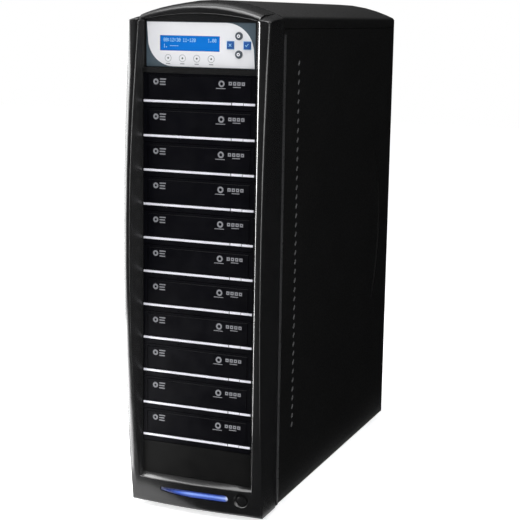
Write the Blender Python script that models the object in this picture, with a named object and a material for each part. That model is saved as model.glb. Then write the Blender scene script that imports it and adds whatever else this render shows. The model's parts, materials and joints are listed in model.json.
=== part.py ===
"""Disc duplicator tower: a tall steel case with a bowed and arched front frame, a control panel,
eleven half-height disc drives with sliding trays, and fans and a power supply at the back.

Metres, +Z up, the front faces -Y. The origin is under the middle of the case, on the surface it
stands on. Inside the file, places are given from the plane of the drives' faces (y = 0) and from
the underside of the front frame (z = 0); the empty named tower carries them to the world.
"""

import math

import bmesh
import bpy

# Case
CASE_DEPTH = 0.5100
CREST_RISE = 0.0205
SHOULDER_RADIUS = 0.0020
SHEET = 0.0012
FOOT_HEIGHT = 0.0060
PANEL_LIFT = 0.0020
COVER_SKIRT = 0.0128
FLANGE = 0.0080
FOLD_RADIUS = 0.0012
FIT_GAP = 0.0003
SEAM_GAP = 0.0005
OVERRUN = 0.0050

# Front frame
BEZEL_DEPTH = 0.0484
BEZEL_WALL = 0.0026
FRAME_FLARE = 0.0035
BOW_REACH = 0.0200
BOW_PEAK_SHARE = 0.5000
BOW_TOP_RISE = 0.0420
CHIN_BULGE = 0.0040
CROWN_RISE = 0.0164
CROWN_END_DROP = 0.0024
CROWN_SETBACK = 0.0048
CROWN_EDGE_RADIUS = 0.0012
FRONT_EDGE_RADIUS = 0.0045
FRONT_EDGE_ANGLES = (math.radians(30), math.radians(60), math.radians(90))
INNER_EDGE_RADIUS = 0.0026
CROWN_BLEND_SHARE = 0.45
CROWN_BLEND_DEPTH_SHARE = 0.25
FRONT_MIDDLE_SHARE = 0.60
PILLAR_WIDTH = 0.0165
PILLAR_LAND = 0.0015
PILLAR_DRAFT_SHARE = 0.40
PILLAR_TOP_DROP = 0.0070
PILLAR_TOP_INSET = 0.0040
PILLAR_TOP_RISES = (0.0019, 0.0032, 0.0044)
PILLAR_STEP = 0.0004
CORNER_ANGLES = (math.radians(20), math.radians(40), math.radians(60))
SILL_BACK_HEIGHT = 0.0408
SILL_FALL = 0.0048
PANEL_BAY_HEIGHT = 0.0637
LINTEL_DEPTH = 0.0045
LINTEL_RISE = 0.0080
OPENING_CORNER = 0.0020
TUNNEL_LEAD = 0.0010
TUNNEL_DEPTH = 0.0080
WEB_FRONT = 0.0020
WEB_WALL = 0.0026
CROSSBAR_HEIGHT = 0.0064
CROSSBAR_PROUD = 0.0012
CROSSBAR_BITE = 0.0019
BOTTOM_STATIONS = 8
SIDE_STATIONS = 10
ARCH_STATIONS = 12

# Drives
DRIVE_COUNT = 11
DRIVE_PITCH = 0.0425
DRIVE_WIDTH = 0.1480
DRIVE_FACE_HEIGHT = 0.0418
DRIVE_FACE_DEPTH = 0.0050
DRIVE_BODY_MARGIN = 0.0010
DRIVE_BODY_HEIGHT = 0.0413
DRIVE_DEPTH = 0.1700
DOOR_MARGIN = 0.0058
DOOR_HEIGHT = 0.0284
DOOR_DROP = 0.0030
DOOR_DEPTH = 0.0040
DOOR_GAP = 0.0004
DOOR_BEVEL = 0.0006
DOOR_PROUD = 0.0003
STRIP_DROP = 0.0327
STRIP_HEIGHT = 0.0028
STRIP_PROUD = 0.0008
STRIP_ROOT = 0.0010
BUTTON_INSET = 0.0152
BUTTON_WIDTH = 0.0152
EJECT_DEPTH = 0.0058
EJECT_TRAVEL = 0.0010
EJECT_CLEARANCE = 0.0015
EJECT_BEVEL = 0.0003
PINHOLE_LEFT = 0.0485
PINHOLE_DROP = 0.0038
PINHOLE_RADIUS = 0.0008
PINHOLE_DEPTH = 0.0060

# Trays
TRAY_MARGIN = 0.0100
TRAY_THICKNESS = 0.0070
TRAY_DROP = 0.0155
TRAY_TRAVEL = 0.1400
TRAY_HOLD = 0.0190
DISC_HEADROOM = 0.0054
SLOT_END_GAP = 0.0020
DISC_RIM = 0.0032
DISC_SEAT_DEPTH = 0.0026
SMALL_SEAT_RADIUS = 0.0405
SMALL_SEAT_DEPTH = 0.0040
SEAT_SETBACK = 0.0030
PICKUP_WIDTH = 0.0360
PICKUP_LENGTH = 0.0560
PICKUP_SETBACK = 0.0190
PICKUP_CORNER = 0.0120

# Blank cover of the lowest bay
BLANK_SETBACK = 0.0010
BLANK_WALL = 0.0026
BLANK_ARM_LENGTH = 0.0660
BLANK_ARM_WALL = 0.0020
BLANK_ARM_HEIGHT = 0.0300

# Chassis and bay rails
CHASSIS_LIP = 0.0130
CHASSIS_SIDE_POST = 0.0260
CHASSIS_BEAM = 0.0220
REAR_POST = 0.0090
RAIL_DEPTH = 0.1700
RAIL_WINDOW_HEIGHT = 0.0260
RAIL_WINDOW_DEPTH = 0.0600

# Control panel
PANEL_SIDE_MARGIN = 0.0023
PANEL_HEIGHT = 0.0538
PANEL_CENTRE_RISE = 0.0347
PANEL_WINDOW_GAP = 0.0007
PANEL_SINK = 0.0010
PANEL_FLANGE = 0.0016
PANEL_FLANGE_WALL = 0.0015
SCREEN_HEIGHT = 0.0180
SCREEN_LEFT_MARGIN = 0.0183
SCREEN_RIGHT_MARGIN = 0.0461
SCREEN_RISE = 0.0015
SCREEN_SINK = 0.0005
SCREEN_BODY_MARGIN = 0.0040
SCREEN_BODY_DEPTH = 0.0060
KEY_CENTRE_INSET = 0.0211
KEY_SPREAD = 0.0108
KEY_CENTRE_RISE = 0.0006
ROUND_KEY_RADIUS = 0.0046
SQUARE_KEY_SIDE = 0.0085
KEY_PROUD = 0.0018
KEY_COLLAR = 0.0010
KEY_COLLAR_WALL = 0.0013
KEY_BEVEL = 0.0005
KEY_TRAVEL = 0.0010
LAMP_COUNT = 4
LAMP_END_MARGIN = 0.0109
LAMP_DROP = 0.0165
LAMP_RADIUS = 0.0015
BOARD_SIDE_MARGIN = 0.0043
BOARD_END_MARGIN = 0.0019
BOARD_WALL = 0.0016
STANDOFF_SIDE = 0.0040
SWITCH_SIDE = 0.0060
SWITCH_HEIGHT = 0.0036
SWITCH_CLEARANCE = 0.0008

# Chin: light bar and power button
BAR_INSET = 0.0430
BAR_POWER_GAP = 0.0175
BAR_LEFT_DROP = 0.0156
BAR_RIGHT_DROP = 0.0142
BAR_LEFT_DEPTH = 0.0046
BAR_DEPTH = 0.0088
BAR_ROOT_SHARE = 0.50
BAR_SINK = 0.0003
BAR_SHOULDER = 0.0011
BAR_FLANGE = 0.0014
BAR_FLANGE_WALL = 0.0018
BAR_STATIONS = 8
BAR_END_STEPS = 4
POWER_INSET = 0.0265
POWER_DROP = 0.0190
POWER_RADIUS = 0.0064
POWER_DISH_RADIUS = 0.0100
POWER_DISH_FLOOR_RADIUS = 0.0075
POWER_BOSS_RADIUS = 0.0124
POWER_BOSS_DEPTH = 0.0080
POWER_SINK = 0.0004
POWER_DOME = 0.0009
POWER_DOME_SHARES = (0.45, 0.80, 0.94, 1.0)
POWER_COLLAR = 0.0012
POWER_COLLAR_WALL = 0.0014
POWER_TRAVEL = 0.0012
POWER_STAND = 0.0010

# Side panels
VENT_COUNT = 40
VENT_PITCH = 0.0120
VENT_TOP_DROP = 0.0417
VENT_SETBACK = 0.1010
VENT_LENGTH = 0.0078
VENT_WIDTH = 0.0026
VENT_TILT = math.radians(38)
GRIP_BACK_MARGIN = 0.0760
GRIP_CENTRE_HEIGHT = 0.3140
GRIP_HEIGHT = 0.2300
GRIP_SAG = 0.0290
GRIP_THIN_SAG = 0.0120
GRIP_DEPTH = 0.0014
GRIP_STATIONS = 12

# Back: fans and power supply
FAN_SIDE = 0.0920
FAN_DEPTH = 0.0254
FAN_CORNER = 0.0050
FAN_WALL = 0.0030
FAN_LIP = 0.0010
FAN_STRUT_DEPTH = 0.0030
FAN_STRUT_WIDTH = 0.0052
FAN_SEAT_RADIUS = 0.0165
FAN_HOLE_RADIUS = 0.0022
FAN_HOLE_INSET = 0.0048
FAN_HEIGHTS = (0.2050, 0.4200)
HUB_RADIUS = 0.0160
HUB_LENGTH = 0.0190
HUB_SKIRT = 0.0020
BLADE_COUNT = 7
BLADE_CLEARANCE = 0.0015
BLADE_REACH = 0.0080
BLADE_WALL = 0.0014
BLADE_CAMBER = 0.0018
BLADE_ROOT_SINK = 0.0012
BLADE_SPAN_SHARES = (0.0, 0.5, 1.0)
BLADE_HALF_ANGLES = (math.radians(20), math.radians(19), math.radians(18))
BLADE_SWEEPS = (0.0, math.radians(5), math.radians(12))
GRILLE_INNER_RADIUS = 0.0120
GRILLE_SLOT = 0.0058
GRILLE_WEB = 0.0026
GRILLE_SPOKE = 0.0040
GRILLE_RINGS = 3
GRILLE_SECTORS = 4
GRILLE_TURN = math.radians(45)
SUPPLY_WIDTH = 0.1500
SUPPLY_HEIGHT = 0.0860
SUPPLY_DEPTH = 0.1400
SUPPLY_EDGE = 0.0015
SUPPLY_FRAME = 0.0030
INLET_WIDTH = 0.0250
INLET_HEIGHT = 0.0170
INLET_DEPTH = 0.0160
INLET_CORNER = 0.0020
INLET_OFFSET = -0.0520
INLET_RISE = 0.0180
SUPPLY_VENT_OFFSET = 0.0160
SUPPLY_VENT_RADIUS = 0.0340
SUPPLY_VENT_SLOT = 0.0040
SUPPLY_VENT_PITCH = 0.0075
SUPPLY_VENT_COUNT = 8

# Feet
FOOT_RADIUS = 0.0110
FOOT_TOP_RADIUS = 0.0095
FOOT_INSET = 0.0245
FOOT_FRONT_SETBACK = 0.0860
FOOT_REAR_MARGIN = 0.0400
FOOT_EDGE = 0.0010

# Worked out from the above
HALF_WIDTH = DRIVE_WIDTH / 2 + PILLAR_WIDTH
TOP_BAY_HEIGHT = SILL_BACK_HEIGHT + (DRIVE_COUNT + 1) * DRIVE_PITCH
LINTEL_HEIGHT = TOP_BAY_HEIGHT + PANEL_BAY_HEIGHT
SHOULDER_HEIGHT = LINTEL_HEIGHT + LINTEL_DEPTH
TOP_SEAM_HEIGHT = SHOULDER_HEIGHT - COVER_SKIRT
BOW_TOP_HEIGHT = SHOULDER_HEIGHT + BOW_TOP_RISE
BOW_PEAK_HEIGHT = BOW_TOP_HEIGHT * BOW_PEAK_SHARE
SILL_FRONT_HEIGHT = SILL_BACK_HEIGHT - SILL_FALL
FACE_Y = BOW_REACH - (BOW_REACH + CASE_DEPTH) / 2
BAY_HALF_WIDTH = DRIVE_WIDTH / 2 + FIT_GAP
DRIVE_BODY_WIDTH = DRIVE_WIDTH - 2 * DRIVE_BODY_MARGIN
DOOR_WIDTH = DRIVE_WIDTH - 2 * DOOR_MARGIN
TRAY_WIDTH = DRIVE_WIDTH - 2 * TRAY_MARGIN
DISC_SEAT_RADIUS = TRAY_WIDTH / 2 - DISC_RIM
BUTTON_OFFSET = (DRIVE_WIDTH - BUTTON_WIDTH) / 2 - BUTTON_INSET
CHASSIS_FRONT = BEZEL_DEPTH + FIT_GAP
CHASSIS_REAR = CASE_DEPTH - SHEET - FIT_GAP
CHASSIS_HALF_WIDTH = HALF_WIDTH - SHEET - FIT_GAP
CHASSIS_BOTTOM = PANEL_LIFT + SHEET + FIT_GAP
PANEL_TOP = TOP_SEAM_HEIGHT - FIT_GAP
CHASSIS_TOP = PANEL_TOP - SHEET - FIT_GAP
CHASSIS_FLOOR = CHASSIS_BOTTOM + SHEET
PANEL_FRONT = BEZEL_DEPTH + SEAM_GAP
WEB_BACK = WEB_FRONT + WEB_WALL
PANEL_WIDTH = DRIVE_WIDTH - 2 * PANEL_SIDE_MARGIN
PANEL_CENTRE_HEIGHT = TOP_BAY_HEIGHT + PANEL_CENTRE_RISE
SCREEN_WIDTH = PANEL_WIDTH - SCREEN_LEFT_MARGIN - SCREEN_RIGHT_MARGIN
SCREEN_OFFSET = (SCREEN_LEFT_MARGIN - SCREEN_RIGHT_MARGIN) / 2
LAMP_SPAN = SCREEN_WIDTH - 2 * LAMP_END_MARGIN
LAMP_FIRST_OFFSET = SCREEN_OFFSET - LAMP_SPAN / 2
LAMP_PITCH = LAMP_SPAN / (LAMP_COUNT - 1)
KEY_CENTRE_OFFSET = PANEL_WIDTH / 2 - KEY_CENTRE_INSET
FASCIA_FRONT = WEB_FRONT + PANEL_SINK
FASCIA_BACK = WEB_BACK + FIT_GAP + PANEL_FLANGE_WALL
BOARD_WIDTH = PANEL_WIDTH - 2 * BOARD_SIDE_MARGIN
BOARD_HEIGHT = PANEL_HEIGHT - 2 * BOARD_END_MARGIN
BOARD_STANDOFF = FIT_GAP + KEY_COLLAR_WALL + KEY_TRAVEL + SWITCH_HEIGHT + SWITCH_CLEARANCE
BOARD_FRONT = FASCIA_BACK + BOARD_STANDOFF
KEY_CENTRE_HEIGHT = PANEL_CENTRE_HEIGHT + KEY_CENTRE_RISE
LAMP_HEIGHT = PANEL_CENTRE_HEIGHT - LAMP_DROP
SCREEN_CENTRE_HEIGHT = PANEL_CENTRE_HEIGHT + SCREEN_RISE
RAIL_INNER = DRIVE_BODY_WIDTH / 2 + FIT_GAP
RAIL_FRONT = CHASSIS_FRONT + SHEET + FIT_GAP
FAN_FRONT = CHASSIS_REAR - FAN_DEPTH
FAN_BORE_RADIUS = FAN_SIDE / 2 - FAN_WALL
BLADE_TIP_RADIUS = FAN_BORE_RADIUS - BLADE_CLEARANCE
SUPPLY_FRONT = CHASSIS_REAR - SUPPLY_DEPTH
SUPPLY_CENTRE_HEIGHT = CHASSIS_FLOOR + FIT_GAP + SUPPLY_HEIGHT / 2
TRAY_LENGTH = TRAY_TRAVEL + TRAY_HOLD
EJECT_POCKET = EJECT_DEPTH + EJECT_TRAVEL + EJECT_CLEARANCE
POWER_DISH_DEPTH = POWER_SINK + POWER_TRAVEL + POWER_STAND
POWER_OFFSET = HALF_WIDTH - POWER_INSET
POWER_HEIGHT = SILL_BACK_HEIGHT - POWER_DROP
BAR_LEFT = BAR_INSET - HALF_WIDTH
BAR_RIGHT = POWER_OFFSET - BAR_POWER_GAP
VENT_TOP_HEIGHT = TOP_SEAM_HEIGHT - VENT_TOP_DROP
GRIP_SETBACK = CASE_DEPTH - GRIP_BACK_MARGIN
FOOT_OFFSET = HALF_WIDTH - FOOT_INSET
FOOT_REAR_SETBACK = CASE_DEPTH - FOOT_REAR_MARGIN

# How many sides round shapes get
LARGE_ROUND_COUNT = 24
DISC_ROUND_COUNT = 20
ROUND_COUNT = 18
KEY_ROUND_COUNT = 16
FOOT_ROUND_COUNT = 12
LAMP_ROUND_COUNT = 8
HOLE_ROUND_COUNT = 6


# Scene and materials


def clear_scene():
    for old in list(bpy.data.objects):
        bpy.data.objects.remove(old, do_unlink=True)


def finish(name, colour, roughness, metallic=0.0):
    """A Principled material, made once for each name."""
    material = bpy.data.materials.get(name)
    if material is None:
        material = bpy.data.materials.new(name)
        material.use_nodes = True
        shader = material.node_tree.nodes["Principled BSDF"]
        shader.inputs["Base Color"].default_value = (*colour, 1.0)
        shader.inputs["Roughness"].default_value = roughness
        shader.inputs["Metallic"].default_value = metallic
    return material


def bezel_plastic():
    return finish("bezel_plastic", (0.045, 0.045, 0.048), 0.38)


def case_paint():
    return finish("case_paint", (0.016, 0.016, 0.017), 0.42)


def inner_steel():
    return finish("inner_steel", (0.42, 0.43, 0.44), 0.40, 0.90)


def drive_plastic():
    return finish("drive_plastic", (0.014, 0.014, 0.018), 0.30)


def silver_plastic():
    return finish("silver_plastic", (0.78, 0.78, 0.80), 0.30)


def panel_film():
    return finish("panel_film", (0.86, 0.87, 0.88), 0.45)


def screen_blue():
    return finish("screen_blue", (0.05, 0.38, 0.80), 0.15)


def key_grey():
    return finish("key_grey", (0.14, 0.15, 0.17), 0.45)


def key_blue():
    return finish("key_blue", (0.04, 0.20, 0.48), 0.40)


def light_blue():
    return finish("light_blue", (0.16, 0.30, 0.85), 0.20)


def board_green():
    return finish("board_green", (0.02, 0.16, 0.07), 0.45)


def fan_plastic():
    return finish("fan_plastic", (0.020, 0.020, 0.022), 0.50)


def foot_rubber():
    return finish("foot_rubber", (0.020, 0.020, 0.020), 0.85)


# Shapes: a shape is a list of rings of points, closed by a cap at each end


def rectangle(width, height, centre=(0.0, 0.0)):
    u, v = centre
    return [
        (u - width / 2, v - height / 2),
        (u + width / 2, v - height / 2),
        (u + width / 2, v + height / 2),
        (u - width / 2, v + height / 2),
    ]


def circle(radius, centre=(0.0, 0.0), count=ROUND_COUNT):
    u, v = centre
    steps = [2 * math.pi * (i + 0.5) / count for i in range(count)]
    return [(u + radius * math.cos(a), v + radius * math.sin(a)) for a in steps]


def rounded_rectangle(width, height, radius, steps=3, centre=(0.0, 0.0)):
    u, v = centre
    corners = (
        (width / 2 - radius, height / 2 - radius, 0.0),
        (radius - width / 2, height / 2 - radius, math.pi / 2),
        (radius - width / 2, radius - height / 2, math.pi),
        (width / 2 - radius, radius - height / 2, 3 * math.pi / 2),
    )
    outline = []
    for cu, cv, start in corners:
        for i in range(steps + 1):
            angle = start + math.pi / 2 * i / steps
            outline.append((u + cu + radius * math.cos(angle), v + cv + radius * math.sin(angle)))
    return outline


def lay(outline, axis, level):
    """An outline's points in space, on the plane that the axis meets at the level."""
    if axis == "X":
        return [(level, u, v) for u, v in outline]
    if axis == "Y":
        return [(u, level, v) for u, v in outline]
    return [(u, v, level) for u, v in outline]


def loft(axis, *sections):
    """A shape through (outline, level) sections along an axis."""
    return [lay(outline, axis, level) for outline, level in sections]


def prism(axis, outline, low, high):
    return loft(axis, (outline, low), (outline, high))


def block(centre, size):
    (x, y, z), (sx, sy, sz) = centre, size
    return prism("Z", rectangle(sx, sy, (x, y)), z - sz / 2, z + sz / 2)


def mirror_x(shape):
    return [[(-x, y, z) for x, y, z in ring] for ring in shape]


def ring_faces(mesh, near, far):
    count = len(near)
    for i in range(count):
        j = (i + 1) % count
        mesh.faces.new((near[i], near[j], far[j], far[i]))


def mesh_of(name, shapes, closed=False):
    """One mesh of closed shells. With closed set, the last ring joins the first and there are no caps."""
    mesh = bmesh.new()
    for shape in shapes:
        rows = [[mesh.verts.new(point) for point in ring] for ring in shape]
        for near, far in zip(rows, rows[1:]):
            ring_faces(mesh, near, far)
        if closed:
            ring_faces(mesh, rows[-1], rows[0])
        else:
            mesh.faces.new(rows[0])
            mesh.faces.new(rows[-1])
    bmesh.ops.recalc_face_normals(mesh, faces=mesh.faces)
    bmesh.ops.triangulate(mesh, faces=[face for face in mesh.faces if len(face.verts) == 4])
    data = bpy.data.meshes.new(name)
    mesh.to_mesh(data)
    mesh.free()
    return data


def shade(data, angle=math.radians(32)):
    data.shade_smooth()
    data.set_sharp_from_angle(angle=angle)


def add_object(name, data, place=(0.0, 0.0, 0.0)):
    made = bpy.data.objects.new(name, data)
    made.parent = bpy.data.objects.get("tower")
    made.location = place
    bpy.context.scene.collection.objects.link(made)
    return made


def add_part(name, shapes, material, place=(0.0, 0.0, 0.0), closed=False):
    data = mesh_of(name, shapes, closed)
    data.materials.append(material)
    shade(data)
    return add_object(name, data, place)


def use_tool(part, operation, shapes, closed=False):
    """A live Boolean whose tool stays in the file as a hidden wire guide."""
    name = f"{part.name}_{operation.lower()}_{len(part.modifiers) + 1}"
    tool = add_object(name, mesh_of(name, shapes, closed), part.location)
    tool.hide_render = True
    tool.display_type = "WIRE"
    step = part.modifiers.new(name, "BOOLEAN")
    step.operation = operation
    step.solver = "EXACT"
    step.object = tool


def cut(part, *shapes):
    use_tool(part, "DIFFERENCE", shapes)


def fuse(part, *shapes):
    use_tool(part, "UNION", shapes)


def settled_mesh(part):
    """The part's mesh with its modifiers applied, for copies to share."""
    bpy.context.view_layer.update()
    graph = bpy.context.evaluated_depsgraph_get()
    data = bpy.data.meshes.new_from_object(part.evaluated_get(graph))
    for step in list(part.modifiers):
        bpy.data.objects.remove(step.object, do_unlink=True)
    bpy.data.objects.remove(part, do_unlink=True)
    shade(data)
    return data


# Case outlines


def arch_drop(x, rise):
    """How far an arch over the whole width lies under its crest at x."""
    radius = (HALF_WIDTH**2 + rise**2) / (2 * rise)
    return radius - math.sqrt(radius**2 - x**2)


def arch_height(x, rise):
    return SHOULDER_HEIGHT + rise - arch_drop(x, rise)


def cover_path(inset):
    """The top cover's path over the case, from the right seam to the left, at a depth inside its skin."""
    half = HALF_WIDTH - inset
    turn = SHOULDER_HEIGHT - SHOULDER_RADIUS
    path = [(half, TOP_SEAM_HEIGHT), (half, turn)]
    for i in range(ARCH_STATIONS + 1):
        x = (half - SHOULDER_RADIUS) * math.cos(math.pi * i / ARCH_STATIONS)
        path.append((x, arch_height(x, CREST_RISE) - inset))
    return path + [(-half, turn), (-half, TOP_SEAM_HEIGHT)]


# Front frame


def bow(z):
    """How far the frame stands ahead of the drives at a height: two arcs that meet at the peak."""
    span = BOW_PEAK_HEIGHT if z < BOW_PEAK_HEIGHT else BOW_TOP_HEIGHT - BOW_PEAK_HEIGHT
    share = (z - BOW_PEAK_HEIGHT) / span
    return BOW_REACH * (1 - share**2)


def chin_reach(x, z):
    """The chin's front: the bow, and a swell across the middle."""
    swell = max(0.0, 1 - (x / BAY_HALF_WIDTH) ** 2)
    fade = min(1.0, max(0.0, 2 - z / SILL_BACK_HEIGHT))
    return bow(z) + CHIN_BULGE * swell * fade


def pillar_edge(z):
    return BAY_HALF_WIDTH + PILLAR_LAND + PILLAR_DRAFT_SHARE * bow(z)


def flare(z):
    """How far the frame's front stands out beyond its back at each side."""
    return FRAME_FLARE * math.sqrt(z / SHOULDER_HEIGHT)


def crown_height(x):
    return arch_height(x, CROWN_RISE) - CROWN_END_DROP


def station(outer, back, inner, seat, setbacks=(0.0, 0.0), edge=INNER_EDGE_RADIUS):
    """One place round the frame; setbacks are those of the front and of the skin behind it."""
    return {"outer": outer, "back": back, "inner": inner, "seat": seat, "setbacks": setbacks, "edge": edge}


def bezel_stations():
    """Points round the frame: its outline at the front and at the seam, and the opening's edge and seat."""
    stations = []
    for i in range(BOTTOM_STATIONS):
        share = 2 * i / BOTTOM_STATIONS - 1
        outer = (HALF_WIDTH * share, 0.0)
        inner = (pillar_edge(SILL_FRONT_HEIGHT) * share, SILL_FRONT_HEIGHT)
        seat = (BAY_HALF_WIDTH * share, SILL_BACK_HEIGHT - FIT_GAP)
        stations.append(station(outer, outer, inner, seat))
    for i in range(SIDE_STATIONS + 1):
        stations.append(side_station(i / SIDE_STATIONS, 1))
    for i in range(len(CORNER_ANGLES)):
        stations.append(pillar_top_station(i, 1))
    for i in range(ARCH_STATIONS + 1):
        stations.append(crown_station(math.cos(math.pi * i / ARCH_STATIONS)))
    for i in reversed(range(len(CORNER_ANGLES))):
        stations.append(pillar_top_station(i, -1))
    for i in range(SIDE_STATIONS):
        stations.append(side_station(1 - i / SIDE_STATIONS, -1))
    return stations


def side_station(share, side):
    corner = LINTEL_HEIGHT - OPENING_CORNER
    outer_z = share * (SHOULDER_HEIGHT - PILLAR_TOP_DROP)
    outer = (side * (HALF_WIDTH + flare(outer_z)), outer_z)
    back = (side * HALF_WIDTH, share * (SHOULDER_HEIGHT - SHOULDER_RADIUS))
    z = SILL_FRONT_HEIGHT + share * (corner - SILL_FRONT_HEIGHT)
    seat_z = SILL_BACK_HEIGHT - FIT_GAP + share * (corner - SILL_BACK_HEIGHT + FIT_GAP)
    return station(outer, back, (side * pillar_edge(z), z), (side * BAY_HALF_WIDTH, seat_z))


def pillar_top_station(number, side):
    """The pillar's top: over its shoulder, and along to the step down to the crown."""
    top = SHOULDER_HEIGHT - PILLAR_TOP_DROP
    half = HALF_WIDTH + flare(top)
    step = crown_half_width() + PILLAR_STEP
    x = (half - PILLAR_TOP_INSET / 4, half - PILLAR_TOP_INSET, step)[number]
    back_x = (HALF_WIDTH - SHOULDER_RADIUS / 4, HALF_WIDTH - SHOULDER_RADIUS, step)[number]
    back_z = arch_height(back_x, CREST_RISE)
    if number == 0:
        back_z = SHOULDER_HEIGHT - SHOULDER_RADIUS / 4
    angle = CORNER_ANGLES[number]
    across, up = OPENING_CORNER * (1 - math.cos(angle)), OPENING_CORNER * math.sin(angle)
    z = LINTEL_HEIGHT - OPENING_CORNER + up
    inner = (side * (pillar_edge(LINTEL_HEIGHT) - across), z)
    seat = (side * (BAY_HALF_WIDTH - across), z)
    skin = CROWN_SETBACK if number == len(CORNER_ANGLES) - 1 else 0.0
    outer = (side * x, top + PILLAR_TOP_RISES[number])
    return station(outer, (side * back_x, back_z), inner, seat, (0.0, skin))


def crown_half_width():
    return pillar_edge(LINTEL_HEIGHT) + PILLAR_LAND


def crown_station(share):
    x = crown_half_width() * share
    lintel = LINTEL_HEIGHT + LINTEL_RISE * (1 - share**2)
    inner = ((pillar_edge(LINTEL_HEIGHT) - OPENING_CORNER) * share, lintel)
    seat = ((BAY_HALF_WIDTH - OPENING_CORNER) * share, lintel)
    back = (x, arch_height(x, CREST_RISE))
    return station((x, crown_height(x)), back, inner, seat, (CROWN_SETBACK, CROWN_SETBACK), CROWN_EDGE_RADIUS)


def towards(start, end, distance):
    """The point at a distance from start on the line to end."""
    run = math.dist(start, end)
    return tuple(a + (b - a) * distance / run for a, b in zip(start, end))


def midway(start, end, share):
    return tuple(a + (b - a) * share for a, b in zip(start, end))


def front_point(flat, behind=0.0):
    """A point of the front skin, or of a surface at a depth behind it."""
    x, z = flat
    return (x, behind - chin_reach(x, z), z)


def frame_section(place):
    """The frame's wall at one station: outer skin, rounded edge, front, opening and inner skin."""
    outer, back, inner, seat = place["outer"], place["back"], place["inner"], place["seat"]
    setback, skin = place["setbacks"]
    edge, slant = place["edge"], place["edge"] * (1 - math.sqrt(0.5))
    section = [(back[0], BEZEL_DEPTH, back[1])]
    swell = midway(outer, back, CROWN_BLEND_SHARE)
    section.append((swell[0], BEZEL_DEPTH * CROWN_BLEND_DEPTH_SHARE, swell[1]))
    section.append(front_point(outer, setback + FRONT_EDGE_RADIUS))
    for angle in FRONT_EDGE_ANGLES:
        flat = towards(outer, inner, FRONT_EDGE_RADIUS * (1 - math.cos(angle)))
        section.append(front_point(flat, setback + FRONT_EDGE_RADIUS * (1 - math.sin(angle))))
    section.append(front_point(midway(outer, inner, FRONT_MIDDLE_SHARE), setback))
    section.append(front_point(towards(inner, outer, edge), setback))
    section.append(front_point(towards(inner, outer, slant), setback + slant))
    section.append(front_point(inner, setback + edge))
    section.append((seat[0], TUNNEL_LEAD, seat[1]))
    section.append((seat[0], TUNNEL_DEPTH, seat[1]))
    flange = towards(seat, outer, BEZEL_WALL)
    section.append((flange[0], TUNNEL_DEPTH, flange[1]))
    section.append(front_point(towards(inner, outer, BEZEL_WALL), skin + BEZEL_WALL))
    section.append(front_point(towards(outer, inner, BEZEL_WALL), skin + BEZEL_WALL))
    rim = towards(back, seat, BEZEL_WALL)
    section.append((rim[0], BEZEL_DEPTH, rim[1]))
    return section


def web_outline():
    """The plate behind the lintel, sunk half a wall into the tunnel round it."""
    sink = BEZEL_WALL / 2
    base = TOP_BAY_HEIGHT + FIT_GAP
    side = BAY_HALF_WIDTH + sink
    outline = [(-side, base), (side, base), (side, LINTEL_HEIGHT)]
    for i in range(1, ARCH_STATIONS):
        share = math.cos(math.pi * i / ARCH_STATIONS)
        outline.append((BAY_HALF_WIDTH * share, LINTEL_HEIGHT + LINTEL_RISE * (1 - share**2) + sink))
    return outline + [(-side, LINTEL_HEIGHT)]


def panel_rectangle(margin=0.0):
    return rectangle(PANEL_WIDTH + 2 * margin, PANEL_HEIGHT + 2 * margin, (0.0, PANEL_CENTRE_HEIGHT))


def bar_outline(margin=0.0):
    """The light bar: a nearly straight top over a foot that sags to full depth, and a round right end."""
    radius = BAR_DEPTH / 2 + margin
    left, right = BAR_LEFT - margin, BAR_RIGHT + margin - radius
    top, foot = [], []
    for i in range(BAR_STATIONS + 1):
        share = i / BAR_STATIONS
        x = left + (right - left) * share
        z = SILL_BACK_HEIGHT - BAR_LEFT_DROP + (BAR_LEFT_DROP - BAR_RIGHT_DROP) * share
        fullness = 1 - (1 - min(share / BAR_ROOT_SHARE, 1.0)) ** 2
        depth = BAR_LEFT_DEPTH + (BAR_DEPTH - BAR_LEFT_DEPTH) * fullness
        top.append((x, z + margin))
        foot.append((x, z - depth - margin))
    end = (right, SILL_BACK_HEIGHT - BAR_RIGHT_DROP - BAR_DEPTH / 2)
    turns = [math.pi * (i / BAR_END_STEPS - 0.5) for i in range(1, BAR_END_STEPS)]
    tip = [(end[0] + radius * math.cos(turn), end[1] + radius * math.sin(turn)) for turn in turns]
    return foot + tip + top[::-1]


def skin_ring(outline, behind):
    return [front_point(point, behind) for point in outline]


def power_circle(radius):
    return circle(radius, (POWER_OFFSET, POWER_HEIGHT), LARGE_ROUND_COUNT)


def power_front():
    return -chin_reach(POWER_OFFSET, POWER_HEIGHT)


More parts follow.
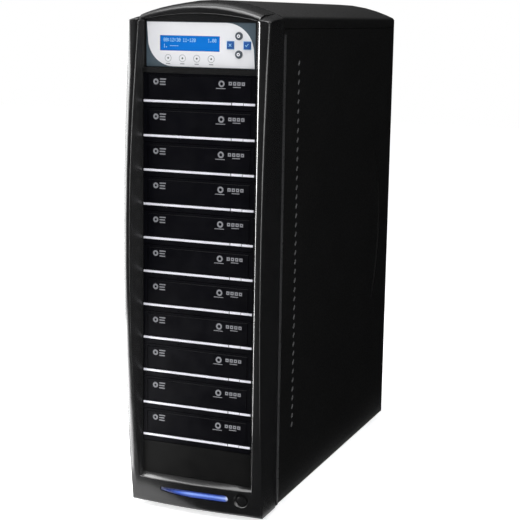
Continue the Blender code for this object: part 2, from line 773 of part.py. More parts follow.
def make_front_bezel():
    sections = [frame_section(place) for place in bezel_stations()]
    bezel = add_part("front_bezel", [[list(ring) for ring in zip(*sections)]], bezel_plastic(), closed=True)
    bar_low = TOP_BAY_HEIGHT + FIT_GAP
    bar_centre = bar_low + CROSSBAR_HEIGHT / 2
    web = prism("Y", web_outline(), WEB_FRONT, WEB_BACK)
    fuse(bezel, web)
    crossbar = rectangle(2 * (BAY_HALF_WIDTH + CROSSBAR_BITE), CROSSBAR_HEIGHT, (0.0, bar_centre))
    fuse(bezel, prism("Y", crossbar, -CROSSBAR_PROUD, WEB_FRONT + WEB_WALL / 2))
    front = power_front()
    boss = power_circle(POWER_BOSS_RADIUS)
    fuse(bezel, prism("Y", boss, front + BEZEL_WALL / 2, front + POWER_BOSS_DEPTH))
    dish = loft(
        "Y",
        (power_circle(POWER_DISH_RADIUS + POWER_DISH_DEPTH), front - OVERRUN),
        (power_circle(POWER_DISH_RADIUS), front),
        (power_circle(POWER_DISH_FLOOR_RADIUS), front + POWER_DISH_DEPTH),
        (power_circle(POWER_RADIUS + FIT_GAP), front + POWER_DISH_DEPTH),
        (power_circle(POWER_RADIUS + FIT_GAP), front + POWER_BOSS_DEPTH + OVERRUN),
    )
    slot = [skin_ring(bar_outline(FIT_GAP), behind) for behind in (-OVERRUN, BEZEL_WALL + OVERRUN)]
    window = prism("Y", panel_rectangle(PANEL_WINDOW_GAP), WEB_FRONT - OVERRUN, WEB_BACK + OVERRUN)
    cut(bezel, dish, slot, window)


def make_light_bar():
    flange_front = BEZEL_WALL + FIT_GAP
    rings = [
        skin_ring(bar_outline(-BAR_SHOULDER), BAR_SINK),
        skin_ring(bar_outline(), BAR_SINK + BAR_SHOULDER),
        skin_ring(bar_outline(), flange_front),
        skin_ring(bar_outline(BAR_FLANGE), flange_front),
        skin_ring(bar_outline(BAR_FLANGE), flange_front + BAR_FLANGE_WALL),
    ]
    add_part("light_bar", [rings], light_blue())


def make_power_button():
    front = power_front()
    collar = POWER_BOSS_DEPTH + FIT_GAP
    dome = [
        (circle(POWER_RADIUS * share), POWER_SINK + POWER_DOME * share**3) for share in POWER_DOME_SHARES
    ]
    shape = loft(
        "Y",
        *dome,
        (circle(POWER_RADIUS), collar),
        (circle(POWER_RADIUS + POWER_COLLAR), collar),
        (circle(POWER_RADIUS + POWER_COLLAR), collar + POWER_COLLAR_WALL),
    )
    add_part("power_button", [shape], bezel_plastic(), (POWER_OFFSET, front, POWER_HEIGHT))


# Control panel


def key_places():
    """Each key's name, offset from the panel's middle, shape and colour."""
    return (
        ("up_button", (KEY_CENTRE_OFFSET, KEY_CENTRE_HEIGHT + KEY_SPREAD), True),
        ("down_button", (KEY_CENTRE_OFFSET, KEY_CENTRE_HEIGHT - KEY_SPREAD), True),
        ("escape_button", (KEY_CENTRE_OFFSET - KEY_SPREAD, KEY_CENTRE_HEIGHT), False),
        ("enter_button", (KEY_CENTRE_OFFSET + KEY_SPREAD, KEY_CENTRE_HEIGHT), False),
    )


def key_outline(is_round, margin, centre=(0.0, 0.0)):
    if is_round:
        return circle(ROUND_KEY_RADIUS + margin, centre, KEY_ROUND_COUNT)
    side = SQUARE_KEY_SIDE + 2 * margin
    return rectangle(side, side, centre)


def lamp_places():
    return [(LAMP_FIRST_OFFSET + LAMP_PITCH * i, LAMP_HEIGHT) for i in range(LAMP_COUNT)]


def standoff_places():
    x = BOARD_WIDTH / 2 - STANDOFF_SIDE
    z = BOARD_HEIGHT / 2 - STANDOFF_SIDE
    return [(u * x, PANEL_CENTRE_HEIGHT + v * z) for u in (-1, 1) for v in (-1, 1)]


def make_fascia():
    shape = loft(
        "Y",
        (panel_rectangle(), FASCIA_FRONT),
        (panel_rectangle(), WEB_BACK + FIT_GAP),
        (panel_rectangle(PANEL_FLANGE), WEB_BACK + FIT_GAP),
        (panel_rectangle(PANEL_FLANGE), FASCIA_BACK),
    )
    fascia = add_part("control_panel_fascia", [shape], panel_film())
    posts = [rectangle(STANDOFF_SIDE, STANDOFF_SIDE, place) for place in standoff_places()]
    fuse(fascia, *[prism("Y", post, FASCIA_BACK - FIT_GAP, BOARD_FRONT - FIT_GAP) for post in posts])
    front, back = FASCIA_FRONT - OVERRUN, FASCIA_BACK + OVERRUN
    screen = rectangle(
        SCREEN_WIDTH + 2 * FIT_GAP, SCREEN_HEIGHT + 2 * FIT_GAP, (SCREEN_OFFSET, SCREEN_CENTRE_HEIGHT)
    )
    holes = [prism("Y", screen, front, back)]
    for _, place, is_round in key_places():
        holes.append(prism("Y", key_outline(is_round, FIT_GAP, place), front, back))
    for place in lamp_places():
        holes.append(prism("Y", circle(LAMP_RADIUS + FIT_GAP, place, LAMP_ROUND_COUNT), front, back))
    cut(fascia, *holes)


def make_screen():
    centre = (SCREEN_OFFSET, SCREEN_CENTRE_HEIGHT)
    glass = rectangle(SCREEN_WIDTH, SCREEN_HEIGHT, centre)
    margin = 2 * SCREEN_BODY_MARGIN
    body = rectangle(SCREEN_WIDTH + margin, SCREEN_HEIGHT + margin, centre)
    shoulder = FASCIA_BACK + FIT_GAP
    shape = loft(
        "Y",
        (glass, FASCIA_FRONT + SCREEN_SINK),
        (glass, shoulder),
        (body, shoulder),
        (body, shoulder + SCREEN_BODY_DEPTH),
    )
    add_part("lcd_module", [shape], screen_blue())


def make_keys():
    for name, place, is_round in key_places():
        front = FASCIA_FRONT - KEY_PROUD
        collar = FASCIA_BACK + FIT_GAP
        shape = loft(
            "Y",
            (key_outline(is_round, -KEY_BEVEL), 0.0),
            (key_outline(is_round, 0.0), KEY_BEVEL),
            (key_outline(is_round, 0.0), collar - front),
            (key_outline(is_round, KEY_COLLAR), collar - front),
            (key_outline(is_round, KEY_COLLAR), collar - front + KEY_COLLAR_WALL),
        )
        colour = key_grey() if is_round else key_blue()
        add_part(name, [shape], colour, (place[0], front, place[1]))


def make_control_board():
    board = rectangle(BOARD_WIDTH, BOARD_HEIGHT, (0.0, PANEL_CENTRE_HEIGHT))
    plate = prism("Y", board, BOARD_FRONT, BOARD_FRONT + BOARD_WALL)
    part = add_part("control_board", [plate], board_green())
    root = BOARD_FRONT + BOARD_WALL / 2
    lamps = [circle(LAMP_RADIUS, place, LAMP_ROUND_COUNT) for place in lamp_places()]
    posts = [prism("Y", lamp, FASCIA_FRONT, root) for lamp in lamps]
    for _, place, _ in key_places():
        switch = rectangle(SWITCH_SIDE, SWITCH_SIDE, place)
        posts.append(prism("Y", switch, BOARD_FRONT - SWITCH_HEIGHT, root))
    fuse(part, *posts)


# Drives


def bay_top(number):
    return TOP_BAY_HEIGHT - (number - 1) * DRIVE_PITCH


def under_bay_top(drop, height):
    """The middle of something of a height that starts at a drop under the bay's top."""
    return -drop - height / 2


def drive_housing_mesh():
    """The drive's case: front plate with a silver strip, the tray's slot, eject pocket and pinhole."""
    face = rectangle(DRIVE_WIDTH, DRIVE_FACE_HEIGHT, (0.0, under_bay_top(0.0, DRIVE_FACE_HEIGHT)))
    body = rectangle(DRIVE_BODY_WIDTH, DRIVE_BODY_HEIGHT, (0.0, under_bay_top(0.0, DRIVE_FACE_HEIGHT)))
    shape = loft(
        "Y", (face, 0.0), (face, DRIVE_FACE_DEPTH), (body, DRIVE_FACE_DEPTH), (body, DRIVE_DEPTH)
    )
    housing = add_part("housing_pattern", [shape], drive_plastic())
    strip_centre = under_bay_top(STRIP_DROP, STRIP_HEIGHT)
    strip = rectangle(DRIVE_WIDTH, STRIP_HEIGHT, (0.0, strip_centre))
    fuse(housing, prism("Y", strip, -STRIP_PROUD, STRIP_ROOT))
    door = rectangle(
        DOOR_WIDTH + 2 * DOOR_GAP, DOOR_HEIGHT + 2 * DOOR_GAP, (0.0, under_bay_top(DOOR_DROP, DOOR_HEIGHT))
    )
    slot_height = TRAY_THICKNESS + FIT_GAP + DISC_HEADROOM
    slot = rectangle(
        TRAY_WIDTH + 2 * DOOR_GAP, slot_height, (0.0, -TRAY_DROP + DISC_HEADROOM - slot_height / 2)
    )
    step = DOOR_DEPTH + DOOR_GAP
    slot_end = DOOR_DEPTH + TRAY_LENGTH + SLOT_END_GAP
    path = loft("Y", (door, -OVERRUN), (door, step), (slot, step), (slot, slot_end))
    pocket_height = STRIP_HEIGHT + 2 * FIT_GAP
    pocket = rectangle(BUTTON_WIDTH, pocket_height, (BUTTON_OFFSET, strip_centre))
    hole = (PINHOLE_LEFT - DRIVE_WIDTH / 2, -STRIP_DROP - STRIP_HEIGHT - PINHOLE_DROP)
    cut(
        housing,
        path,
        prism("Y", pocket, -OVERRUN, EJECT_POCKET - STRIP_PROUD),
        prism("Y", circle(PINHOLE_RADIUS, hole, HOLE_ROUND_COUNT), -OVERRUN, PINHOLE_DEPTH),
    )
    return settled_mesh(housing)


def tray_mesh():
    """Door and platform in one, with seats for two disc sizes and the gap over the pickup."""
    door_middle = under_bay_top(DOOR_DROP, DOOR_HEIGHT)
    door = rectangle(DOOR_WIDTH, DOOR_HEIGHT, (0.0, door_middle))
    door_front = rectangle(DOOR_WIDTH - 2 * DOOR_BEVEL, DOOR_HEIGHT - 2 * DOOR_BEVEL, (0.0, door_middle))
    platform = rectangle(TRAY_WIDTH, TRAY_THICKNESS, (0.0, under_bay_top(TRAY_DROP, TRAY_THICKNESS)))
    shape = loft(
        "Y",
        (door_front, -DOOR_PROUD),
        (door, DOOR_BEVEL - DOOR_PROUD),
        (door, DOOR_DEPTH),
        (platform, DOOR_DEPTH),
        (platform, DOOR_DEPTH + TRAY_LENGTH),
    )
    tray = add_part("tray_pattern", [shape], drive_plastic())
    centre = (0.0, DOOR_DEPTH + SEAT_SETBACK + DISC_SEAT_RADIUS)
    wide = circle(DISC_SEAT_RADIUS, centre, DISC_ROUND_COUNT)
    narrow = circle(SMALL_SEAT_RADIUS, centre, DISC_ROUND_COUNT)
    top = -TRAY_DROP
    seats = loft(
        "Z",
        (narrow, top - SMALL_SEAT_DEPTH),
        (narrow, top - DISC_SEAT_DEPTH),
        (wide, top - DISC_SEAT_DEPTH),
        (wide, top + OVERRUN),
    )
    cut(tray, seats)
    gap_centre = (0.0, centre[1] + PICKUP_SETBACK)
    gap = rounded_rectangle(PICKUP_WIDTH, PICKUP_LENGTH, PICKUP_CORNER, centre=gap_centre)
    cut(tray, prism("Z", gap, top - TRAY_THICKNESS - OVERRUN, top + OVERRUN))
    return settled_mesh(tray)


def eject_button_mesh():
    width = BUTTON_WIDTH - 2 * FIT_GAP
    front = rectangle(width - 2 * EJECT_BEVEL, STRIP_HEIGHT - 2 * EJECT_BEVEL)
    full = rectangle(width, STRIP_HEIGHT)
    shape = loft(
        "Y",
        (front, -STRIP_PROUD),
        (full, EJECT_BEVEL - STRIP_PROUD),
        (full, EJECT_DEPTH - STRIP_PROUD),
    )
    data = mesh_of("eject_button", [shape])
    data.materials.append(silver_plastic())
    shade(data)
    return data


def make_drives():
    housing, tray, button = drive_housing_mesh(), tray_mesh(), eject_button_mesh()
    button_drop = under_bay_top(STRIP_DROP, STRIP_HEIGHT)
    for number in range(1, DRIVE_COUNT + 1):
        top = bay_top(number)
        add_object(f"drive_{number:02d}_housing", housing, (0.0, 0.0, top))
        add_object(f"drive_{number:02d}_tray", tray, (0.0, 0.0, top))
        add_object(f"drive_{number:02d}_eject_button", button, (BUTTON_OFFSET, 0.0, top + button_drop))


def make_blank_cover():
    middle = SILL_BACK_HEIGHT + FIT_GAP + DRIVE_FACE_HEIGHT / 2
    plate = rectangle(DRIVE_WIDTH, DRIVE_FACE_HEIGHT, (0.0, middle))
    cover = add_part(
        "blank_bay_cover", [prism("Y", plate, BLANK_SETBACK, BLANK_SETBACK + BLANK_WALL)], bezel_plastic()
    )
    root = BLANK_SETBACK + BLANK_WALL / 2
    arm_centre = (DRIVE_BODY_WIDTH - BLANK_ARM_WALL) / 2, root + BLANK_ARM_LENGTH / 2, middle
    arm = block(arm_centre, (BLANK_ARM_WALL, BLANK_ARM_LENGTH, BLANK_ARM_HEIGHT))
    fuse(cover, arm, mirror_x(arm))


# Chassis


def make_chassis():
    """A folded steel frame: a box of sheet opened on five sides to leave posts and beams."""
    height = CHASSIS_TOP - CHASSIS_BOTTOM
    middle = (CHASSIS_TOP + CHASSIS_BOTTOM) / 2
    depth = CHASSIS_REAR - CHASSIS_FRONT
    centre_y = (CHASSIS_REAR + CHASSIS_FRONT) / 2
    width = 2 * CHASSIS_HALF_WIDTH
    centre = (0.0, centre_y, middle)
    frame = add_part("chassis_frame", [block(centre, (width, depth, height))], inner_steel())
    wall = 2 * SHEET
    cut(frame, block(centre, (width - wall, depth - wall, height - wall)))
    mouth_low = SILL_BACK_HEIGHT - FIT_GAP
    mouth_middle = (PANEL_CENTRE_HEIGHT + mouth_low) / 2
    mouth = rectangle(2 * (RAIL_INNER + SHEET), PANEL_CENTRE_HEIGHT - mouth_low, (0.0, mouth_middle))
    cut(frame, prism("Y", mouth, CHASSIS_FRONT - OVERRUN, CHASSIS_FRONT + SHEET + OVERRUN))
    back_low, back_high = CHASSIS_FLOOR, CHASSIS_TOP - CHASSIS_LIP
    back_middle = (back_high + back_low) / 2
    back = rectangle(2 * (CHASSIS_HALF_WIDTH - REAR_POST), back_high - back_low, (0.0, back_middle))
    cut(frame, prism("Y", back, CHASSIS_REAR - SHEET - OVERRUN, CHASSIS_REAR + OVERRUN))
    side = rectangle(depth - 2 * CHASSIS_SIDE_POST, height - 2 * CHASSIS_BEAM, (centre_y, middle))
    cut(frame, prism("X", side, -HALF_WIDTH, HALF_WIDTH))
    lid = rectangle(width - 2 * CHASSIS_LIP, depth - 2 * CHASSIS_BEAM, (0.0, centre_y))
    cut(frame, prism("Z", lid, CHASSIS_TOP - SHEET - OVERRUN, CHASSIS_TOP + OVERRUN))


def rail_outline():
    """Angle section: a web beside the drives and a flange out to the case behind the front frame."""
    inner, outer = RAIL_INNER, CHASSIS_HALF_WIDTH - SHEET - FIT_GAP
    front, back = RAIL_FRONT, RAIL_FRONT + RAIL_DEPTH
    return [
        (inner, front),
        (outer, front),
        (outer, front + SHEET),
        (inner + SHEET, front + SHEET),
        (inner + SHEET, back),
        (inner, back),
    ]


def make_bay_rails():
    low, high = CHASSIS_FLOOR + FIT_GAP, CHASSIS_TOP - SHEET - FIT_GAP
    windows = []
    for number in range(1, DRIVE_COUNT + 1):
        centre = (RAIL_INNER, RAIL_FRONT + RAIL_DEPTH / 2, bay_top(number) - DRIVE_PITCH / 2)
        windows.append(block(centre, (2 * OVERRUN, RAIL_WINDOW_DEPTH, RAIL_WINDOW_HEIGHT)))
    angle = prism("Z", rail_outline(), low, high)
    right = add_part("bay_rail_right", [angle], inner_steel())
    cut(right, *windows)
    left = add_part("bay_rail_left", [mirror_x(angle)], inner_steel())
    cut(left, *[mirror_x(window) for window in windows])


# Outer panels


def side_outline():
    """Folded section of a side panel: skin, two rounded folds and two flanges."""
    outer, inner = HALF_WIDTH, HALF_WIDTH - SHEET
    low, high = PANEL_LIFT, PANEL_TOP
    tip = HALF_WIDTH - FLANGE
    bend = FOLD_RADIUS * (1 - math.cos(math.pi / 4))
    return [
        (tip, low),
        (outer - FOLD_RADIUS, low),
        (outer - bend, low + bend),
        (outer, low + FOLD_RADIUS),
        (outer, high - FOLD_RADIUS),
        (outer - bend, high - bend),
        (outer - FOLD_RADIUS, high),
        (tip, high),
        (tip, high - SHEET),
        (inner, high - SHEET),
        (inner, low + SHEET),
        (tip, low + SHEET),
    ]


def vent_outline(number):
    """One slanted slit with pointed ends, leaning back towards its top."""
    y, z = VENT_SETBACK, VENT_TOP_HEIGHT - VENT_PITCH * number
    tip, shoulder, half = VENT_LENGTH / 2, (VENT_LENGTH - VENT_WIDTH) / 2, VENT_WIDTH / 2
    end = [(shoulder, -half), (tip, 0.0), (shoulder, half)]
    places = end + [(-along, -across) for along, across in end]
    rise, lean = math.cos(VENT_TILT), math.sin(VENT_TILT)
    return [(y + lean * u + rise * v, z + rise * u - lean * v) for u, v in places]


def grip_outline(margin=0.0):
    """The crescent pressed near the back of a side panel."""
    back, front = [], []
    half = GRIP_HEIGHT / 2 + margin
    for i in range(GRIP_STATIONS + 1):
        share = 2 * i / GRIP_STATIONS - 1
        z = GRIP_CENTRE_HEIGHT + half * share
        swell = 1 - share**2
        back.append((GRIP_SETBACK + (GRIP_SAG + margin) * swell + margin / 2, z))
        front.append((GRIP_SETBACK + (GRIP_THIN_SAG - margin) * swell - margin / 2, z))
    return back + front[::-1]


def make_side_panel(name, turn):
    """A side panel: turn leaves a shape on the right or mirrors it to the left."""
    sheet = prism("Y", side_outline(), PANEL_FRONT, CHASSIS_REAR)
    panel = add_part(name, [turn(sheet)], case_paint())
    inside = HALF_WIDTH - SHEET
    fuse(panel, turn(prism("X", grip_outline(SHEET), inside - GRIP_DEPTH, inside + SHEET / 2)))
    vents = [
        turn(prism("X", vent_outline(i), inside - OVERRUN, HALF_WIDTH + OVERRUN)) for i in range(VENT_COUNT)
    ]
    grip = turn(prism("X", grip_outline(), HALF_WIDTH - GRIP_DEPTH, HALF_WIDTH + OVERRUN))
    cut(panel, grip, *vents)


def keep(shape):
    return shape


def make_top_cover():
    outer, inner = cover_path(0.0), cover_path(SHEET)
    tip = HALF_WIDTH - FLANGE
    lift = TOP_SEAM_HEIGHT + SHEET
    right = [(tip, lift), (tip, TOP_SEAM_HEIGHT)]
    left = [(-tip, TOP_SEAM_HEIGHT), (-tip, lift)]
    inner[0] = (inner[0][0], lift)
    inner[-1] = (inner[-1][0], lift)
    outline = right + outer + left + inner[::-1]
    add_part("top_cover", [prism("Y", outline, PANEL_FRONT, CHASSIS_REAR)], case_paint())


# Back


def arc(centre, radius, start, end, steps):
    u, v = centre
    turns = [start + (end - start) * i / steps for i in range(steps + 1)]
    return [(u + radius * math.cos(a), v + radius * math.sin(a)) for a in turns]


def grille_slots(centre):
    """Rings of slots, broken by spokes of one width."""
    slots = []
    for ring in range(GRILLE_RINGS):
        inner = GRILLE_INNER_RADIUS + ring * (GRILLE_SLOT + GRILLE_WEB)
        outer = inner + GRILLE_SLOT
        lost = GRILLE_SPOKE / (inner + outer)
        for sector in range(GRILLE_SECTORS):
            start = GRILLE_TURN + 2 * math.pi * sector / GRILLE_SECTORS + lost
            end = GRILLE_TURN + 2 * math.pi * (sector + 1) / GRILLE_SECTORS - lost
            steps = 2 + min(ring, 1)
            slots.append(arc(centre, outer, start, end, steps) + arc(centre, inner, end, start, steps))
    return slots


def make_rear_panel():
    path = cover_path(0.0)
    outline = [(-HALF_WIDTH, PANEL_LIFT), (HALF_WIDTH, PANEL_LIFT)] + path[1:-1]
    front, back = CASE_DEPTH - SHEET, CASE_DEPTH
    panel = add_part("rear_panel", [prism("Y", outline, front, back)], case_paint())
    window = rectangle(
        SUPPLY_WIDTH - 2 * SUPPLY_FRAME, SUPPLY_HEIGHT - 2 * SUPPLY_FRAME, (0.0, SUPPLY_CENTRE_HEIGHT)
    )
    openings = [window]
    for height in FAN_HEIGHTS:
        openings += grille_slots((0.0, height))
    cut(panel, *[prism("Y", opening, front - OVERRUN, back + OVERRUN) for opening in openings])


def make_fan_frame(name, height):
    outer = rounded_rectangle(FAN_SIDE, FAN_SIDE, FAN_CORNER, 2)
    frame = add_part(name, [prism("Y", outer, 0.0, FAN_DEPTH)], fan_plastic(), (0.0, FAN_FRONT, height))
    strut_front = FAN_DEPTH - FAN_STRUT_DEPTH
    bore = prism("Y", circle(FAN_BORE_RADIUS, count=LARGE_ROUND_COUNT), -OVERRUN, strut_front)
    far = FAN_SIDE / 2 - FAN_HOLE_INSET
    corners = [(u * far, v * far) for u in (-1, 1) for v in (-1, 1)]
    holes = [circle(FAN_HOLE_RADIUS, corner, HOLE_ROUND_COUNT) for corner in corners]
    back = FAN_DEPTH + OVERRUN
    cut(frame, bore, *[prism("Y", hole, -OVERRUN, back) for hole in holes])
    cut(frame, *[prism("Y", sector, strut_front - OVERRUN, back) for sector in fan_sectors()])


def fan_sectors():
    """The four ways for the air between the struts, round the motor's seat."""
    far, near = FAN_BORE_RADIUS - FAN_LIP, FAN_SEAT_RADIUS
    far_lost, near_lost = FAN_STRUT_WIDTH / 2 / far, FAN_STRUT_WIDTH / 2 / near
    sectors = []
    for sector in range(4):
        start, end = math.pi / 2 * sector, math.pi / 2 * (sector + 1)
        outside = arc((0.0, 0.0), far, start + far_lost, end - far_lost, 5)
        sectors.append(outside + arc((0.0, 0.0), near, end - near_lost, start + near_lost, 2))
    return sectors


def blade(number):
    """One twisted blade: thin cambered sections from inside the hub to the tip."""
    turn = 2 * math.pi * number / BLADE_COUNT
    root = HUB_RADIUS - BLADE_ROOT_SINK
    rings = []
    for share, half, sweep in zip(BLADE_SPAN_SHARES, BLADE_HALF_ANGLES, BLADE_SWEEPS):
        radius = root + (BLADE_TIP_RADIUS - root) * share
        middle = turn + sweep
        ring = []
        for side in (1, -1):
            for place in (-side, 0, side):
                angle = middle + half * place
                y = BLADE_REACH * place + side * BLADE_WALL / 2 + BLADE_CAMBER * (1 - abs(place))
                ring.append((radius * math.cos(angle), y, radius * math.sin(angle)))
        rings.append(ring)
    return rings


def make_fan_rotor(name, height):
    """Hub and blades, turning on the pin behind the hub's closed front."""
    middle = FAN_DEPTH - FAN_STRUT_DEPTH - FIT_GAP - HUB_LENGTH / 2
    half = HUB_LENGTH / 2
    hub = loft(
        "Y",
        (circle(HUB_RADIUS - HUB_SKIRT), -half),
        (circle(HUB_RADIUS), HUB_SKIRT - half),
        (circle(HUB_RADIUS), half),
    )
    rotor = add_part(name, [hub], fan_plastic(), (0.0, FAN_FRONT + middle, height))
    fuse(rotor, *[blade(number) for number in range(BLADE_COUNT)])


def make_power_supply():
    centre = (0.0, SUPPLY_CENTRE_HEIGHT)
    body = rectangle(SUPPLY_WIDTH, SUPPLY_HEIGHT, centre)
    small = rectangle(SUPPLY_WIDTH - 2 * SUPPLY_EDGE, SUPPLY_HEIGHT - 2 * SUPPLY_EDGE, centre)
    shape = loft("Y", (small, SUPPLY_FRONT), (body, SUPPLY_FRONT + SUPPLY_EDGE), (body, CHASSIS_REAR))
    supply = add_part("power_supply", [shape], inner_steel())
    wall = 2 * SHEET
    hollow = (SUPPLY_WIDTH - wall, SUPPLY_DEPTH - wall, SUPPLY_HEIGHT - wall)
    cut(supply, block((0.0, CHASSIS_REAR - SUPPLY_DEPTH / 2, SUPPLY_CENTRE_HEIGHT), hollow))
    inlet_centre = (INLET_OFFSET, SUPPLY_CENTRE_HEIGHT + INLET_RISE)
    inlet = rounded_rectangle(INLET_WIDTH, INLET_HEIGHT, INLET_CORNER, 1, inlet_centre)
    cup = rectangle(INLET_WIDTH + wall, INLET_HEIGHT + wall, inlet_centre)
    fuse(supply, prism("Y", cup, CHASSIS_REAR - INLET_DEPTH - SHEET, CHASSIS_REAR - SHEET / 2))
    cuts = [prism("Y", inlet, CHASSIS_REAR - INLET_DEPTH, CHASSIS_REAR + OVERRUN)]
    for i in range(SUPPLY_VENT_COUNT):
        x = (i - (SUPPLY_VENT_COUNT - 1) / 2) * SUPPLY_VENT_PITCH
        tall = 2 * math.sqrt(SUPPLY_VENT_RADIUS**2 - x**2)
        slot = rectangle(SUPPLY_VENT_SLOT, tall, (SUPPLY_VENT_OFFSET + x, SUPPLY_CENTRE_HEIGHT))
        cuts.append(prism("Y", slot, CHASSIS_REAR - OVERRUN, CHASSIS_REAR + OVERRUN))
    cut(supply, *cuts)


# Feet


def make_feet():
    top = CHASSIS_BOTTOM - FIT_GAP
    sections = (
        (FOOT_RADIUS - FOOT_EDGE, -FOOT_HEIGHT),
        (FOOT_RADIUS, FOOT_EDGE - FOOT_HEIGHT),
        (FOOT_TOP_RADIUS, top),
    )
    shape = loft("Z", *[(circle(radius, count=FOOT_ROUND_COUNT), level) for radius, level in sections])
    for row, y in (("front", FOOT_FRONT_SETBACK), ("rear", FOOT_REAR_SETBACK)):
        for side, x in (("left", -FOOT_OFFSET), ("right", FOOT_OFFSET)):
            add_part(f"foot_{row}_{side}", [shape], foot_rubber(), (x, y, 0.0))


def make_tower():
    clear_scene()
    tower = bpy.data.objects.new("tower", None)
    tower.location = (0.0, FACE_Y, FOOT_HEIGHT)
    bpy.context.scene.collection.objects.link(tower)
    make_front_bezel()
    make_light_bar()
    make_power_button()
    make_fascia()
    make_screen()
    make_keys()
    make_control_board()
    make_drives()
    make_blank_cover()
    make_chassis()
    make_bay_rails()
    make_side_panel("right_side_panel", keep)
    make_side_panel("left_side_panel", mirror_x)
    make_top_cover()
    make_rear_panel()
    for name, height in zip(("lower_fan", "upper_fan"), FAN_HEIGHTS):
        make_fan_frame(f"{name}_frame", height)
        make_fan_rotor(f"{name}_rotor", height)
    make_power_supply()
    make_feet()


make_tower()
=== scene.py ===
"""Looks of the disc duplicator tower: camera, light, materials, and the printed and small detail."""

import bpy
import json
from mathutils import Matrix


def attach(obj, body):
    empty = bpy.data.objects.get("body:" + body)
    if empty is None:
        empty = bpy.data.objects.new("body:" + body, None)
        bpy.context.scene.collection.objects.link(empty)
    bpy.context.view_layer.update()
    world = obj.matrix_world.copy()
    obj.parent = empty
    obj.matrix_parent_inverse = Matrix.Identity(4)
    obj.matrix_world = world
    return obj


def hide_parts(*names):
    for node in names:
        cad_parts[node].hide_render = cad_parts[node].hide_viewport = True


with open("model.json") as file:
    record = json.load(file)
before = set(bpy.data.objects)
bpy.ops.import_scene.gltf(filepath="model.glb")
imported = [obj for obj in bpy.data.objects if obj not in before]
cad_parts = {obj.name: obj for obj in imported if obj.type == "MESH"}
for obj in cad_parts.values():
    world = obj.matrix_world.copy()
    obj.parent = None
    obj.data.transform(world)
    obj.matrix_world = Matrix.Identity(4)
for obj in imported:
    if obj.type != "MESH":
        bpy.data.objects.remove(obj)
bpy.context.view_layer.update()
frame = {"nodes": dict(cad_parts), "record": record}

import json
import math

import bmesh
import bpy
from mathutils import Matrix, Vector

# Places below are in millimetres from the drives' faces and the underside of the front frame

MM = 0.001
FACE_Y = -0.2450
LIFT = 0.0060


def at(x, y, z):
    """The frame's point, in metres, for a place in millimetres."""
    return Vector((x * MM, y * MM + FACE_Y, z * MM + LIFT))


# Camera, fitted to the photograph

CAMERA_AZIMUTH, CAMERA_ELEVATION, CAMERA_ROLL = 21.994, 10.432, 0.920
CAMERA_PLACE = (675.8, -1467.5, 622.1)
CAMERA_LENS, SENSOR_WIDTH = 92.18, 36.0
CAMERA_REACH = 50


def place_camera():
    az, el, roll = (math.radians(angle) for angle in (CAMERA_AZIMUTH, CAMERA_ELEVATION, CAMERA_ROLL))
    forward = Vector((-math.sin(az) * math.cos(el), math.cos(az) * math.cos(el), -math.sin(el)))
    side = forward.cross(Vector((0, 0, 1))).normalized()
    up = side.cross(forward)
    right = math.cos(roll) * side + math.sin(roll) * up
    top = -math.sin(roll) * side + math.cos(roll) * up
    turn = Matrix((right, top, -forward)).transposed().to_4x4()
    data = bpy.data.cameras.new("camera")
    data.sensor_width = SENSOR_WIDTH
    data.lens = CAMERA_LENS
    data.clip_end = CAMERA_REACH
    camera = bpy.data.objects.new("camera", data)
    camera.matrix_world = Matrix.Translation(at(*CAMERA_PLACE)) @ turn
    bpy.context.scene.collection.objects.link(camera)
    bpy.context.scene.camera = camera


place_camera()

# Materials


